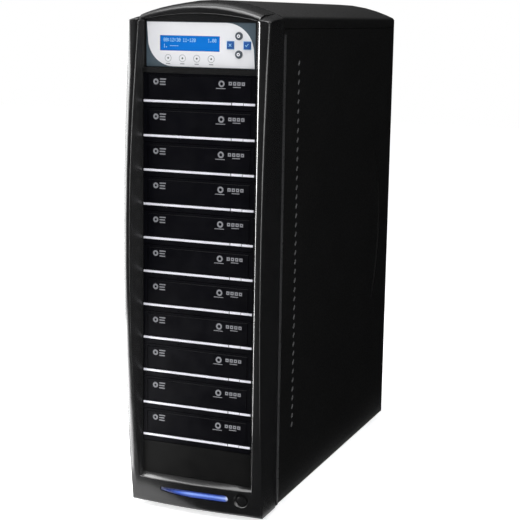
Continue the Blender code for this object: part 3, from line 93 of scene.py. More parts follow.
class Maker:
    """A node material under construction."""

    def __init__(self, name):
        self.material = bpy.data.materials.new(name)
        self.material.use_nodes = True
        self.tree = self.material.node_tree
        self.shader = self.tree.nodes["Principled BSDF"]
        self.coords = self.tree.nodes.new("ShaderNodeTexCoord").outputs["Object"]

    def node(self, kind, **settings):
        made = self.tree.nodes.new(kind)
        for key, value in settings.items():
            setattr(made, key, value)
        return made

    def link(self, start, end):
        self.tree.links.new(start, end)

    def set(self, **values):
        for key, value in values.items():
            self.shader.inputs[key.replace("_", " ")].default_value = value

    def noise(self, scale, detail=2.0, rough=0.5, stretch=None):
        """Noise in the object's own coordinates, stretched along its axes if asked."""
        texture = self.node("ShaderNodeTexNoise")
        texture.inputs["Scale"].default_value = scale
        texture.inputs["Detail"].default_value = detail
        texture.inputs["Roughness"].default_value = rough
        if stretch:
            mapping = self.node("ShaderNodeMapping")
            mapping.inputs["Scale"].default_value = stretch
            self.link(self.coords, mapping.inputs["Vector"])
            self.link(mapping.outputs["Vector"], texture.inputs["Vector"])
        else:
            self.link(self.coords, texture.inputs["Vector"])
        return texture.outputs["Fac"]

    def spread(self, source, low, high, start=0.3, end=0.7):
        """Maps start to end onto low to high."""
        ranged = self.node("ShaderNodeMapRange")
        for key, value in (("From Min", start), ("From Max", end), ("To Min", low), ("To Max", high)):
            ranged.inputs[key].default_value = value
        self.link(source, ranged.inputs["Value"])
        return ranged.outputs["Result"]

    def mix(self, factor, first, second):
        """Blends two colours, each a tuple or a socket."""
        mixed = self.node("ShaderNodeMix", data_type="RGBA")
        for key, value in (("A", first), ("B", second)):
            if isinstance(value, tuple):
                mixed.inputs[key].default_value = (*value, 1)
            else:
                self.link(value, mixed.inputs[key])
        self.link(factor, mixed.inputs["Factor"])
        return mixed.outputs["Result"]

    def ramp(self, factor, stops):
        """A colour ramp through (place, colour) stops."""
        made = self.node("ShaderNodeValToRGB")
        elements = made.color_ramp.elements
        while len(elements) < len(stops):
            elements.new(0.5)
        for element, (place, colour) in zip(elements, stops):
            element.position = place
            element.color = (*colour, 1)
        self.link(factor, made.inputs["Fac"])
        return made.outputs["Color"]

    def bump(self, height, strength, distance):
        bump = self.node("ShaderNodeBump")
        bump.inputs["Strength"].default_value = strength
        bump.inputs["Distance"].default_value = distance
        self.link(height, bump.inputs["Height"])
        self.link(bump.outputs["Normal"], self.shader.inputs["Normal"])

    def colour(self, source):
        self.link(source, self.shader.inputs["Base Color"])

    def roughness(self, source):
        self.link(source, self.shader.inputs["Roughness"])


# Noise scales, in waves per metre, and depths of relief, in metres

PLASTIC_CLOUDS, PLASTIC_GLOSS, PLASTIC_GRAIN, PLASTIC_DEPTH = 35.0, 60.0, 2600.0, 0.00002
PAINT_WAVES, PAINT_GLOSS, PAINT_GRAIN, PAINT_DEPTH = 20.0, 400.0, 1500.0, 0.00004
SPANGLE, ROLLING_GLOSS, ROLLING_MARKS, ROLLING_DEPTH = 160.0, 90.0, 700.0, 0.00002
GLOSS_STRETCH, MARK_STRETCH = (1, 1, 12), (1, 1, 9)
SPANGLE_RANGE, SPANGLE_SHARES = (0.0, 0.9), (0.86, 1.1)
INK_CLOUDS, INK_GRAIN, INK_DEPTH, INK_DARK_SHARE = 500.0, 3000.0, 0.00001, 0.95
PAINT_RELIEF, ROLLING_RELIEF, INK_RELIEF = 0.35, 0.12, 0.08


def moulded(name, shades, rough, specular=0.5, grain=PLASTIC_GRAIN, depth=PLASTIC_DEPTH, strength=0.25):
    """Moulded plastic: faint cloudiness in colour and gloss, and a fine grain."""
    make = Maker(name)
    make.set(Specular_IOR_Level=specular)
    make.colour(make.mix(make.spread(make.noise(PLASTIC_CLOUDS, 3.0), 0, 1), *shades))
    make.roughness(make.spread(make.noise(PLASTIC_GLOSS, 3.0), *rough))
    make.bump(make.noise(grain), strength, depth)
    return make.material


def painted(name, shades, rough, specular=0.5):
    """Powder coat on sheet steel: a leathery texture over slow waves in the sheet."""
    make = Maker(name)
    make.set(Specular_IOR_Level=specular)
    make.colour(make.mix(make.spread(make.noise(PAINT_WAVES, 3.0), 0, 1), *shades))
    make.roughness(make.spread(make.noise(PAINT_GLOSS), *rough))
    make.bump(make.noise(PAINT_GRAIN, 3.0, rough=0.6), PAINT_RELIEF, PAINT_DEPTH)
    return make.material


def plated(name, shade, rough):
    """Zinc-plated sheet: soft spangle and rolling marks."""
    make = Maker(name)
    make.set(Metallic=1.0)
    cells = make.node("ShaderNodeTexVoronoi")
    cells.inputs["Scale"].default_value = SPANGLE
    make.link(make.coords, cells.inputs["Vector"])
    low, high = (tuple(min(1.0, share * c) for c in shade) for share in SPANGLE_SHARES)
    make.colour(make.mix(make.spread(cells.outputs["Distance"], 0, 1, *SPANGLE_RANGE), low, high))
    make.roughness(make.spread(make.noise(ROLLING_GLOSS, 3.0, stretch=GLOSS_STRETCH), *rough))
    make.bump(make.noise(ROLLING_MARKS, stretch=MARK_STRETCH), ROLLING_RELIEF, ROLLING_DEPTH)
    return make.material


def ink(name, colour, rough=0.5):
    """Print: flat ink with a faint grain."""
    make = Maker(name)
    make.set(Specular_IOR_Level=0.3, Roughness=rough)
    low = tuple(INK_DARK_SHARE * c for c in colour)
    make.colour(make.mix(make.spread(make.noise(INK_CLOUDS), 0, 1), low, colour))
    make.bump(make.noise(INK_GRAIN), INK_RELIEF, INK_DEPTH)
    return make.material


# The light bar's colours along its length, and where its pale glowing core lies below its sloping top. The
# darker colour along its top and bottom edges is painted shade: the slot's wall shades the top edge.

BAR_ENDS = (-47.5, 46.5)
BAR_TOP, BAR_TOP_SLOPE, BAR_DEPTH = 25.95, 0.0156, 8.8
BAR_CORE = (
    (0.00, (0.004, 0.010, 0.070)),
    (0.16, (0.008, 0.026, 0.190)),
    (0.30, (0.060, 0.140, 0.620)),
    (0.42, (0.260, 0.400, 0.950)),
    (0.80, (0.200, 0.330, 0.900)),
    (0.95, (0.330, 0.460, 0.930)),
    (1.00, (0.820, 0.840, 0.950)),
)
# Colours of the bar's top and bottom edges, darker than the core: painted shade
BAR_RIM_SHADE = (
    (0.00, (0.003, 0.006, 0.030)),
    (0.25, (0.005, 0.016, 0.120)),
    (0.50, (0.010, 0.040, 0.300)),
    (0.96, (0.012, 0.050, 0.340)),
    (1.00, (0.500, 0.560, 0.800)),
)
BAR_BAND = [
    (place, (share,) * 3)
    for place, share in ((0.0, 0), (0.18, 0.06), (0.34, 0.9), (0.50, 0.9), (0.66, 0.22), (1.0, 0))
]
BAR_CLOUD, BAR_CLOUD_SCALE, BAR_CLOUD_SHARE = (0.5, 0.6, 0.9), 300.0, 0.06
BAR_RIPPLE_SCALE, BAR_RIPPLE_RELIEF, BAR_RIPPLE_DEPTH = 1800.0, 0.05, 0.00001


def bar_material():
    """The light bar: a pale glowing core behind clear blue, darker towards the left, with painted shade
    along its top and bottom edges, the top one where the slot's wall shades it.
    """
    make = Maker("bar_look")
    make.set(Roughness=0.18, Specular_IOR_Level=0.5, Emission_Strength=0.20)
    split = make.node("ShaderNodeSeparateXYZ")
    make.link(make.coords, split.inputs["Vector"])
    along = make.spread(split.outputs["X"], 0, 1, BAR_ENDS[0] * MM, BAR_ENDS[1] * MM)
    core, rim_shade = make.ramp(along, BAR_CORE), make.ramp(along, BAR_RIM_SHADE)
    top = make.node("ShaderNodeMath", operation="MULTIPLY_ADD")
    top.inputs[1].default_value = BAR_TOP_SLOPE
    top.inputs[2].default_value = BAR_TOP * MM + LIFT
    make.link(split.outputs["X"], top.inputs[0])
    below = make.node("ShaderNodeMath", operation="SUBTRACT")
    make.link(top.outputs[0], below.inputs[0])
    make.link(split.outputs["Z"], below.inputs[1])
    # The core glows; the darker share towards the top and bottom edges is painted shade
    band = make.ramp(make.spread(below.outputs[0], 0, 1, 0.0, BAR_DEPTH * MM), BAR_BAND)
    clouds = make.spread(make.noise(BAR_CLOUD_SCALE), 0.0, BAR_CLOUD_SHARE)
    cloudy = make.mix(clouds, make.mix(band, rim_shade, core), BAR_CLOUD)
    make.colour(cloudy)
    make.link(cloudy, make.shader.inputs["Emission Color"])
    make.bump(make.noise(BAR_RIPPLE_SCALE), BAR_RIPPLE_RELIEF, BAR_RIPPLE_DEPTH)
    return make.material


SCREEN_ENDS = (-53.4, 25.6)
SCREEN_GLOW = ((0.0, (0.0045, 0.150, 0.560)), (0.5, (0.005, 0.165, 0.600)), (1.0, (0.005, 0.160, 0.590)))
SCREEN_ROWS, SCREEN_ROW_SHADE, SCREEN_ROW_SHARE = 900.0, (0.003, 0.080, 0.330), 0.10
GLASS_WAVES, GLASS_RELIEF, GLASS_DEPTH = 60.0, 0.02, 0.00002


def lcd_material():
    """A lit screen: faint rows of cells under clear glass, palest near its middle."""
    make = Maker("screen_look")
    make.set(Roughness=0.16, Specular_IOR_Level=0.5, Emission_Strength=0.15)
    split = make.node("ShaderNodeSeparateXYZ")
    make.link(make.coords, split.inputs["Vector"])
    along = make.spread(split.outputs["X"], 0, 1, SCREEN_ENDS[0] * MM, SCREEN_ENDS[1] * MM)
    glow = make.ramp(along, SCREEN_GLOW)
    rows = make.node("ShaderNodeTexWave", wave_type="BANDS", bands_direction="Z")
    rows.inputs["Scale"].default_value = SCREEN_ROWS
    make.link(make.coords, rows.inputs["Vector"])
    share = make.spread(rows.outputs["Fac"], 0.0, SCREEN_ROW_SHARE, 0.0, 1.0)
    lined = make.mix(share, glow, SCREEN_ROW_SHADE)
    make.colour(lined)
    make.link(lined, make.shader.inputs["Emission Color"])
    make.bump(make.noise(GLASS_WAVES), GLASS_RELIEF, GLASS_DEPTH)
    return make.material


# Each material's darker and lighter shade

BEZEL_SHADES = ((0.0085, 0.0085, 0.0088), (0.0105, 0.0105, 0.0108))
BLANK_SHADES = ((0.0048, 0.0048, 0.0048), (0.0062, 0.0062, 0.0060))
PAINT_SHADES = ((0.0062, 0.0062, 0.0063), (0.0078, 0.0078, 0.0079))
# The vent lips are the panel's own paint, coloured far paler as painted highlight of the light they catch
LIT_TONGUE_SHADES = ((0.085, 0.085, 0.0855), (0.100, 0.100, 0.1005))
# The hem is the panel's own paint, coloured far paler as painted highlight along its rounded edge
LIT_HEM_SHADES = ((0.034, 0.034, 0.0345), (0.042, 0.042, 0.0425))
DRIVE_SHADES = ((0.0024, 0.0024, 0.0038), (0.0032, 0.0032, 0.0050))
SILVER_SHADES = ((0.84, 0.83, 0.90), (0.88, 0.87, 0.94))
FILM_SHADES = ((0.79, 0.79, 0.81), (0.82, 0.82, 0.84))
SLATE_SHADES = ((0.060, 0.088, 0.110), (0.070, 0.100, 0.124))
KEY_SHADES = ((0.052, 0.066, 0.080), (0.062, 0.078, 0.094))
BLUE_KEY_SHADES = ((0.0032, 0.074, 0.310), (0.0045, 0.090, 0.350))
BOARD_SHADES = ((0.010, 0.110, 0.045), (0.016, 0.150, 0.060))
FAN_SHADES = ((0.012, 0.012, 0.013), (0.017, 0.017, 0.018))
RUBBER_SHADES = ((0.014, 0.014, 0.014), (0.020, 0.020, 0.020))
STEEL_SHADE, SCREW_SHADE = (0.62, 0.63, 0.64), (0.55, 0.55, 0.56)
FINE_DEPTH, COARSE_DEPTH = 0.00001, 0.00004
EDGE_COAT = {"Coat Weight": 1.0, "Coat IOR": 3.2, "Coat Roughness": 0.16}

bezel_look = moulded("bezel_look", BEZEL_SHADES, (0.25, 0.27), depth=FINE_DEPTH, strength=0.05)
edge_look = moulded("edge_look", BEZEL_SHADES, (0.20, 0.24), depth=FINE_DEPTH, strength=0.05)
for key, value in EDGE_COAT.items():
    edge_look.node_tree.nodes["Principled BSDF"].inputs[key].default_value = value
blank_look = moulded("blank_look", BLANK_SHADES, (0.40, 0.50), 0.06, 1800.0, COARSE_DEPTH, 0.4)
paint_look = painted("paint_look", PAINT_SHADES, (0.40, 0.54), 0.22)
lit_tongue_look = painted("lit_tongue_look", LIT_TONGUE_SHADES, (0.26, 0.34))
lit_hem_look = painted("lit_hem_look", LIT_HEM_SHADES, (0.26, 0.34))
steel_look = plated("steel_look", STEEL_SHADE, (0.28, 0.40))
drive_look = moulded("drive_look", DRIVE_SHADES, (0.30, 0.40), 0.05, depth=FINE_DEPTH, strength=0.12)
silver_look = moulded("silver_look", SILVER_SHADES, (0.26, 0.34), 0.5, 900.0, FINE_DEPTH, 0.1)
film_look = moulded("film_look", FILM_SHADES, (0.40, 0.48), 0.3, 2400.0, FINE_DEPTH, 0.15)
slate_look = moulded("slate_look", SLATE_SHADES, (0.40, 0.50), 0.3)
key_look = moulded("key_look", KEY_SHADES, (0.42, 0.50), 0.35)
blue_key_look = moulded("blue_key_look", BLUE_KEY_SHADES, (0.38, 0.46), 0.35)
board_look = moulded("board_look", BOARD_SHADES, (0.30, 0.40))
fan_look = moulded("fan_look", FAN_SHADES, (0.42, 0.52), 0.35)
rubber_look = moulded("rubber_look", RUBBER_SHADES, (0.75, 0.88), 0.25, 1500.0, 0.00005, 0.5)
screw_look = plated("screw_look", SCREW_SHADE, (0.22, 0.32))
white_ink = ink("white_ink", (0.80, 0.80, 0.84))
mark_ink = ink("mark_ink", (0.24, 0.24, 0.26))
grey_ink = ink("grey_ink", (0.20, 0.21, 0.225))
dark_ink = ink("dark_ink", (0.030, 0.032, 0.036))
pale_blue_ink = ink("pale_blue_ink", (0.36, 0.66, 0.90))
text_look = ink("text_look", (0.42, 0.76, 0.98), 0.3)
screen_look = lcd_material()
bar_look = bar_material()

LOOKS = {
    "bezel_plastic": bezel_look,
    "case_paint": paint_look,
    "inner_steel": steel_look,
    "drive_plastic": drive_look,
    "silver_plastic": silver_look,
    "panel_film": slate_look,
    "screen_blue": screen_look,
    "key_grey": key_look,
    "key_blue": blue_key_look,
    "light_blue": bar_look,
    "board_green": board_look,
    "fan_plastic": fan_look,
    "foot_rubber": rubber_look,
}
SUBPARTS = {entry["node"]: entry for entry in frame["record"]["subparts"]}


def dress(node, look):
    """Shows a CAD node in a material, through its object's slots."""
    target = frame["nodes"][node]
    if not target.material_slots:
        target.data.materials.append(look)
    for place in target.material_slots:
        place.link = "OBJECT"
        place.material = look


for node, entry in SUBPARTS.items():
    dress(node, LOOKS[entry["material_slot"]])
dress("blank_bay_cover", blank_look)

# Pieces


def add_piece(name, mesh, look, body):
    mesh.materials.append(look)
    piece = bpy.data.objects.new(name, mesh)
    bpy.context.scene.collection.objects.link(piece)
    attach(piece, body)
    return piece


def shown_mesh(thing):
    """A copy of an object's mesh with its modifiers or curve settings applied."""
    bpy.context.view_layer.update()
    return bpy.data.meshes.new_from_object(thing.evaluated_get(bpy.context.evaluated_depsgraph_get()))


def mesh_data(name, mesh, sharp):
    """Mesh data from a bmesh, smooth except where it turns by more than sharp degrees."""
    data = bpy.data.meshes.new(name)
    mesh.to_mesh(data)
    mesh.free()
    data.shade_smooth()
    data.set_sharp_from_angle(angle=math.radians(sharp))
    return data


def flat_shapes(name, outlines, y, thick, holes=()):
    """Thin plates on a plane that faces the front: outlines and holes are lists of (x, z)."""
    curve = bpy.data.curves.new(name, "CURVE")
    curve.dimensions = "2D"
    curve.fill_mode = "BOTH"
    curve.extrude = thick / 2 * MM
    for outline in list(outlines) + list(holes):
        spline = curve.splines.new("POLY")
        spline.points.add(len(outline) - 1)
        for point, (x, z) in zip(spline.points, outline):
            point.co = (x * MM, z * MM, 0, 1)
        spline.use_cyclic_u = True
    holder = bpy.data.objects.new(name, curve)
    bpy.context.scene.collection.objects.link(holder)
    mesh = shown_mesh(holder)
    bpy.data.objects.remove(holder, do_unlink=True)
    bpy.data.curves.remove(curve)
    mesh.transform(Matrix.Translation(at(0, y, 0)) @ Matrix.Rotation(math.pi / 2, 4, "X"))
    mesh.name = name
    return mesh


def ring(radius, centre=(0.0, 0.0), count=40):
    x, z = centre
    turns = [2 * math.pi * i / count for i in range(count)]
    return [(x + radius * math.cos(a), z + radius * math.sin(a)) for a in turns]


def slab(width, height, centre=(0.0, 0.0)):
    x, z = centre
    w, h = width / 2, height / 2
    return [(x - w, z - h), (x + w, z - h), (x + w, z + h), (x - w, z + h)]


def oval_arc(centre, reach, start, end, steps=14):
    """Points of an ellipse's arc from one angle to another, in degrees."""
    turns = [math.radians(start + (end - start) * i / steps) for i in range(steps + 1)]
    return [(centre[0] + reach[0] * math.cos(a), centre[1] + reach[1] * math.sin(a)) for a in turns]


# Rounded parts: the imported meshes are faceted, so smooth-shaded copies are shown in their place

HALF_WIDTH = 90.5
FRAME_FLARE, FLARE_HEIGHT = 3.5, 605.0
PILLAR_INSIDE, PILLAR_DEPTH, FRONT_SEARCH = 83.0, 9.0, 5.0
EDGE_RADIUS, EDGE_MARGIN = 4.5, 0.4
EDGE_FADE = ((8.0, 45.0), (598.0, 580.0))
EDGE_TURN = math.radians(28)
POLISHED_BAND, POLISHED_DEPTH = (74.8, 89.0), 3.0
POLISHED_TURNS, POLISHED_FRONT = (-0.97, -0.2), -0.1
REAR_NORMAL = 0.05
DISH_BAND, DISH_TOP, DISH_CREASE = (48.0, 83.0), 34.0, 25.0
WELD_REACH = 0.002
NORMAL_WEIGHT = 80


def ease(value, start, end):
    """Rises smoothly from 0 at start to 1 at end."""
    share = min(1.0, max(0.0, (value - start) / (end - start)))
    return share * share * (3 - 2 * share)


def pillar_rim(height):
    """How far out the front frame reaches at a height, in millimetres."""
    return HALF_WIDTH + FRAME_FLARE * math.sqrt(max(0.0, height) / FLARE_HEIGHT)


def soften_pillar(mesh):
    """Turns the normals beside the left pillar's outer edge outwards: the real edge is a wide ellipse."""
    corners = [v.co for v in mesh.vertices]
    column = [p for p in corners if p.x < -PILLAR_INSIDE * MM and p.y < FACE_Y + PILLAR_DEPTH * MM]
    limit = (EDGE_RADIUS + EDGE_MARGIN) * MM
    normals = [normal.vector.copy() for normal in mesh.corner_normals]
    for loop in mesh.loops:
        place = corners[loop.vertex_index]
        height = (place.z - LIFT) / MM
        beside_rim = -place.x >= pillar_rim(height) * MM - limit
        if not (beside_rim and place.y <= FACE_Y and 0 < height < EDGE_FADE[1][0]):
            continue
        front = min(p.y for p in column if abs(p.z - place.z) < FRONT_SEARCH * MM)
        normal = normals[loop.index]
        if place.y - front < limit and normal.y < REAR_NORMAL:
            share = min(ease(height, *ends) for ends in EDGE_FADE)
            turn = max(0.0, math.atan2(-normal.x, -normal.y))
            extra = share * EDGE_TURN * (1 - turn / (math.pi / 2))
            normals[loop.index] = Matrix.Rotation(-extra, 3, "Z") @ normal
    mesh.normals_split_custom_set([tuple(n) for n in normals])


def polish_inner_edge(mesh, look):
    """Gives the right pillar's rubbed inner edge the glossier look."""
    mesh.materials.append(look)
    low, high = (end * MM for end in POLISHED_BAND)
    for face in mesh.polygons:
        on_pillar = low < face.center.x < high and face.center.y < FACE_Y + POLISHED_DEPTH * MM
        turned = POLISHED_TURNS[0] < face.normal.x < POLISHED_TURNS[1]
        if on_pillar and turned and face.normal.y < POLISHED_FRONT:
            face.material_index = 1


def beside_dish(place):
    """True for points of the chin round the power button."""
    return DISH_BAND[0] * MM < place.x < DISH_BAND[1] * MM and place.z < LIFT + DISH_TOP * MM


def smooth_copy(node, angle):
    """Shows a welded, smooth-shaded copy of a CAD node, sharp where it turns by more than the angle."""
    source = frame["nodes"][node]
    welded = bmesh.new()
    welded.from_mesh(source.data)
    bmesh.ops.remove_doubles(welded, verts=welded.verts, dist=WELD_REACH * MM)
    for edge in welded.edges:
        in_dish = node == "front_bezel" and all(beside_dish(v.co) for v in edge.verts)
        edge.smooth = edge.calc_face_angle(math.pi) < math.radians(DISH_CREASE if in_dish else angle)
    mesh = bpy.data.meshes.new(f"{node}_shown")
    welded.to_mesh(mesh)
    welded.free()
    if "custom_normal" in mesh.attributes:
        mesh.attributes.remove(mesh.attributes["custom_normal"])
    mesh.materials.clear()
    mesh.polygons.foreach_set("use_smooth", [True] * len(mesh.polygons))
    look = source.material_slots[0].material
    piece = add_piece(f"{node}_shown", mesh, look, NODE_BODY[node])
    weighted = piece.modifiers.new("weighted", "WEIGHTED_NORMAL")
    weighted.keep_sharp = True
    weighted.weight = NORMAL_WEIGHT
    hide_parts(node)
    return piece


def settle(piece):
    """Turns the piece's modifiers into its mesh."""
    shown = shown_mesh(piece)
    piece.modifiers.clear()
    piece.data = shown
    return shown


BODIES = frame["record"]["behaviour"]["bodies"]
NODE_BODY = {node: body for body, nodes in BODIES.items() for node in nodes}
FOOT_PLACES = ("front_left", "front_right", "rear_left", "rear_right")

# The angle, in degrees, from which an edge of each smooth copy stays sharp
SMOOTHED = {"front_bezel": 50, "light_bar": 40, "power_button": 60, "top_cover": 35, "blank_bay_cover": 40}
SMOOTHED |= {f"{name}_button": 40 for name in ("up", "down", "escape", "enter")}
SMOOTHED |= {f"foot_{name}": 40 for name in FOOT_PLACES}
SMOOTHED |= {f"{name}_fan_{kind}": 35 for name in ("lower", "upper") for kind in ("frame", "rotor")}
SMOOTHED |= {"left_side_panel": 35, "right_side_panel": 35, "rear_panel": 35, "power_supply": 35}
for name, sharp in SMOOTHED.items():
    shown = smooth_copy(name, sharp)
    if name == "front_bezel":
        soften_pillar(settle(shown))
        polish_inner_edge(shown.data, edge_look)

# Control panel print

FILM_Y = 3.0
FILM_LEFT, FILM_RIGHT, FILM_LOW, FILM_HIGH = -71.2, 71.2, 559.0, 612.1
HIGH_SWEEP_CENTRE, HIGH_SWEEP_REACH = (34.0, 578.0), (35.9, 34.1)
LOW_SWEEP_CENTRE, LOW_SWEEP_REACH = (-35.5, 592.0), (34.1, 33.0)
FILM_FRONT, FILM_THICK = 0.09, 0.14
PRINT_FRONT, PRINT_THICK = 0.17, 0.04
WINDOW_SIZE, WINDOW_CENTRE = (79.2, 18.2), (-13.9, 587.0)
KEYS_X, KEYS_Z, KEY_REACH = 50.6, 586.1, 10.8
KEYS = {
    "up": (KEYS_X, KEYS_Z + KEY_REACH),
    "down": (KEYS_X, KEYS_Z - KEY_REACH),
    "escape": (KEYS_X - KEY_REACH, KEYS_Z),
    "enter": (KEYS_X + KEY_REACH, KEYS_Z),
}
ROUND_HOLE, SQUARE_HOLE = 4.9, 9.1
HALO_OUTSIDE, HALO_INSIDE = 10.3, 9.2
LAMP_COUNT, LAMP_FIRST, LAMP_SPAN, LAMP_Z = 4, -42.5, 57.2, 569.0
LAMPS = [(LAMP_FIRST + LAMP_SPAN * i / (LAMP_COUNT - 1), LAMP_Z) for i in range(LAMP_COUNT)]
LAMP_HOLE, LAMP_RING_OUTSIDE, LAMP_RING_INSIDE = 1.15, 4.4, 3.95
LAMP_CAPTION, LAMP_CAPTION_Z = (5.6, 0.9), 562.4


def leaf_outline():
    """The pale film: square at two corners, swept round at the other two."""
    top_right = oval_arc(HIGH_SWEEP_CENTRE, HIGH_SWEEP_REACH, 90, 0)
    low_left = oval_arc(LOW_SWEEP_CENTRE, LOW_SWEEP_REACH, 270, 180)
    return [(FILM_LEFT, FILM_HIGH)] + top_right + [(FILM_RIGHT, FILM_LOW)] + low_left


def panel_print(name, outlines, gaps, look):
    """Ink on the pale film."""
    mesh = flat_shapes(name, outlines, FILM_Y - PRINT_FRONT, PRINT_THICK, gaps)
    add_piece(name, mesh, look, "tower")


def dress_panel():
    holes = [slab(*WINDOW_SIZE, WINDOW_CENTRE)]
    holes += [ring(ROUND_HOLE, KEYS[name]) for name in ("up", "down")]
    holes += [slab(SQUARE_HOLE, SQUARE_HOLE, KEYS[name]) for name in ("escape", "enter")]
    holes += [ring(LAMP_HOLE, place, 24) for place in LAMPS]
    film = flat_shapes("panel_film_sheet", [leaf_outline()], FILM_Y - FILM_FRONT, FILM_THICK, holes)
    add_piece("panel_film_sheet", film, film_look, "tower")
    marks, gaps = [], []
    for place in LAMPS:
        marks.append(ring(LAMP_RING_OUTSIDE, place))
        gaps.append(ring(LAMP_RING_INSIDE, place))
        marks.append(slab(*LAMP_CAPTION, (place[0], LAMP_CAPTION_Z)))
    panel_print("panel_marks", marks, gaps, grey_ink)
    squares = [KEYS[name] for name in ("escape", "enter")]
    halos = [slab(HALO_OUTSIDE, HALO_OUTSIDE, place) for place in squares]
    gaps = [slab(HALO_INSIDE, HALO_INSIDE, place) for place in squares]
    panel_print("key_halos", halos, gaps, pale_blue_ink)


dress_panel()

# Screen text: plain figures on a dot matrix

FIGURES = {
    "0": "01110 10001 10011 10101 11001 10001 01110",
    "1": "00100 01100 00100 00100 00100 00100 01110",
    "2": "01110 10001 00001 00110 01000 10000 11111",
    "3": "01110 10001 00001 00110 00001 10001 01110",
    ".": "00000 00000 00000 00000 00000 01100 01100",
    "-": "00000 00000 00000 11111 00000 00000 00000",
    ":": "00000 01100 01100 00000 01100 01100 00000",
}
CELL_X, CELL_Z, LETTER_PITCH = 0.48, 0.62, 2.88
DOT_WIDTH, DOT_HEIGHT = 0.46, 0.60
SCREEN_SINK, TEXT_FRONT, TEXT_THICK = 0.5, 0.04, 0.05
TEXT_LEFT, TEXT_RIGHT, TEXT_HIGH, TEXT_LOW = -48.7, 10.2, 592.7, 585.6
ROWS = (
    (TEXT_LEFT, TEXT_HIGH, "00:12:30 11-120"),
    (TEXT_RIGHT, TEXT_HIGH, "1.00"),
    (TEXT_LEFT, TEXT_LOW, "1. ----"),
)


def figure_dots(figure, left, top):
    """The lit dots of one figure, which starts at its top left dot."""
    for down, row in enumerate(FIGURES.get(figure, "").split()):
        for along, lit in enumerate(row):
            if lit == "1":
                yield slab(DOT_WIDTH, DOT_HEIGHT, (left + along * CELL_X, top - down * CELL_Z))


def screen_text():
    dots = []
    for left, top, text in ROWS:
        for column, figure in enumerate(text):
            dots += figure_dots(figure, left + column * LETTER_PITCH, top)
    mesh = flat_shapes("screen_text", dots, FILM_Y + SCREEN_SINK - TEXT_FRONT, TEXT_THICK)
    add_piece("screen_text", mesh, text_look, "tower")


screen_text()

# Key tops and lamps

KEY_FACE = FILM_Y - 1.8
KEY_DISC, DISC_FRONT, DISC_THICK = 2.1, 0.02, 0.06
ARROW_HALF_WIDTH, ARROW_BACK, ARROW_TIP = 1.1, 0.7, 1.2
ARROW_FRONT, MARK_FRONT, SECOND_MARK_FRONT, MARK_THICK = 0.06, 0.03, 0.04, 0.05
CROSS_LENGTH, CROSS_WIDTH, CROSS_TURN = 4.6, 0.8, 45
TICK = ((-2.3, 0.1), (-0.7, -1.7), (2.5, 1.7), (1.9, 2.2), (-0.7, -0.6), (-1.8, 0.6))
LENS_RADIUS, LENS_HEIGHT, LENS_FRONT = 1.0, 0.25, 0.02


def cross_bar(centre, turn):
    """One bar of a cross, turned by an angle in degrees."""
    x, z = centre
    c, s = math.cos(math.radians(turn)), math.sin(math.radians(turn))
    return [(x + u * c - v * s, z + u * s + v * c) for u, v in slab(CROSS_LENGTH, CROSS_WIDTH)]


def key_mark(key, name, outline, front, look, thick=MARK_THICK):
    """Ink on a key's top, which moves with the key."""
    mesh = flat_shapes(name, [outline], KEY_FACE - front, thick)
    add_piece(name, mesh, look, f"{key}_key")


def key_tops():
    for key, sign in (("up", 1), ("down", -1)):
        x, z = KEYS[key]
        disc = ring(KEY_DISC, (x, z), 28)
        key_mark(key, f"{key}_key_disc", disc, DISC_FRONT, white_ink, DISC_THICK)
        foot = z - ARROW_BACK * sign
        arrow = [(x - ARROW_HALF_WIDTH, foot), (x + ARROW_HALF_WIDTH, foot), (x, z + ARROW_TIP * sign)]
        key_mark(key, f"{key}_key_arrow", arrow, ARROW_FRONT, dark_ink)
    rising, falling = (cross_bar(KEYS["escape"], turn) for turn in (CROSS_TURN, -CROSS_TURN))
    key_mark("escape", "escape_key_mark", rising, MARK_FRONT, pale_blue_ink)
    key_mark("escape", "escape_key_mark_b", falling, SECOND_MARK_FRONT, pale_blue_ink)
    x, z = KEYS["enter"]
    tick = [(x + u, z + v) for u, v in TICK]
    key_mark("enter", "enter_key_mark", tick, MARK_FRONT, pale_blue_ink)


def dome(name, radius, height, centre, look, rings=5, count=24, axis=-1):
    """A low dome of the tower on a plane that faces the front, or the back with axis 1."""
    mesh = bmesh.new()
    x, y, z = centre
    last = None
    for i in range(rings):
        a = math.pi / 2 * i / rings
        r, lift = radius * math.cos(a), height * math.sin(a)
        row = [mesh.verts.new(at(x + u, y + axis * lift, z + v)) for u, v in ring(r, count=count)]
        if last:
            for j in range(count):
                k = (j + 1) % count
                mesh.faces.new((last[j], last[k], row[k], row[j]))
        else:
            mesh.faces.new(row)
        last = row
    tip = mesh.verts.new(at(x, y + axis * height, z))
    for j in range(count):
        mesh.faces.new((last[j], last[(j + 1) % count], tip))
    bmesh.ops.recalc_face_normals(mesh, faces=mesh.faces)
    return add_piece(name, mesh_data(name, mesh, 50), look, "tower")


key_tops()
for index, (x, z) in enumerate(LAMPS):
    place = (x, FILM_Y - LENS_FRONT, z)
    dome(f"lamp_lens_{index + 1}", LENS_RADIUS, LENS_HEIGHT, place, dark_ink)

# Drives: heights below are measured down from each drive's top

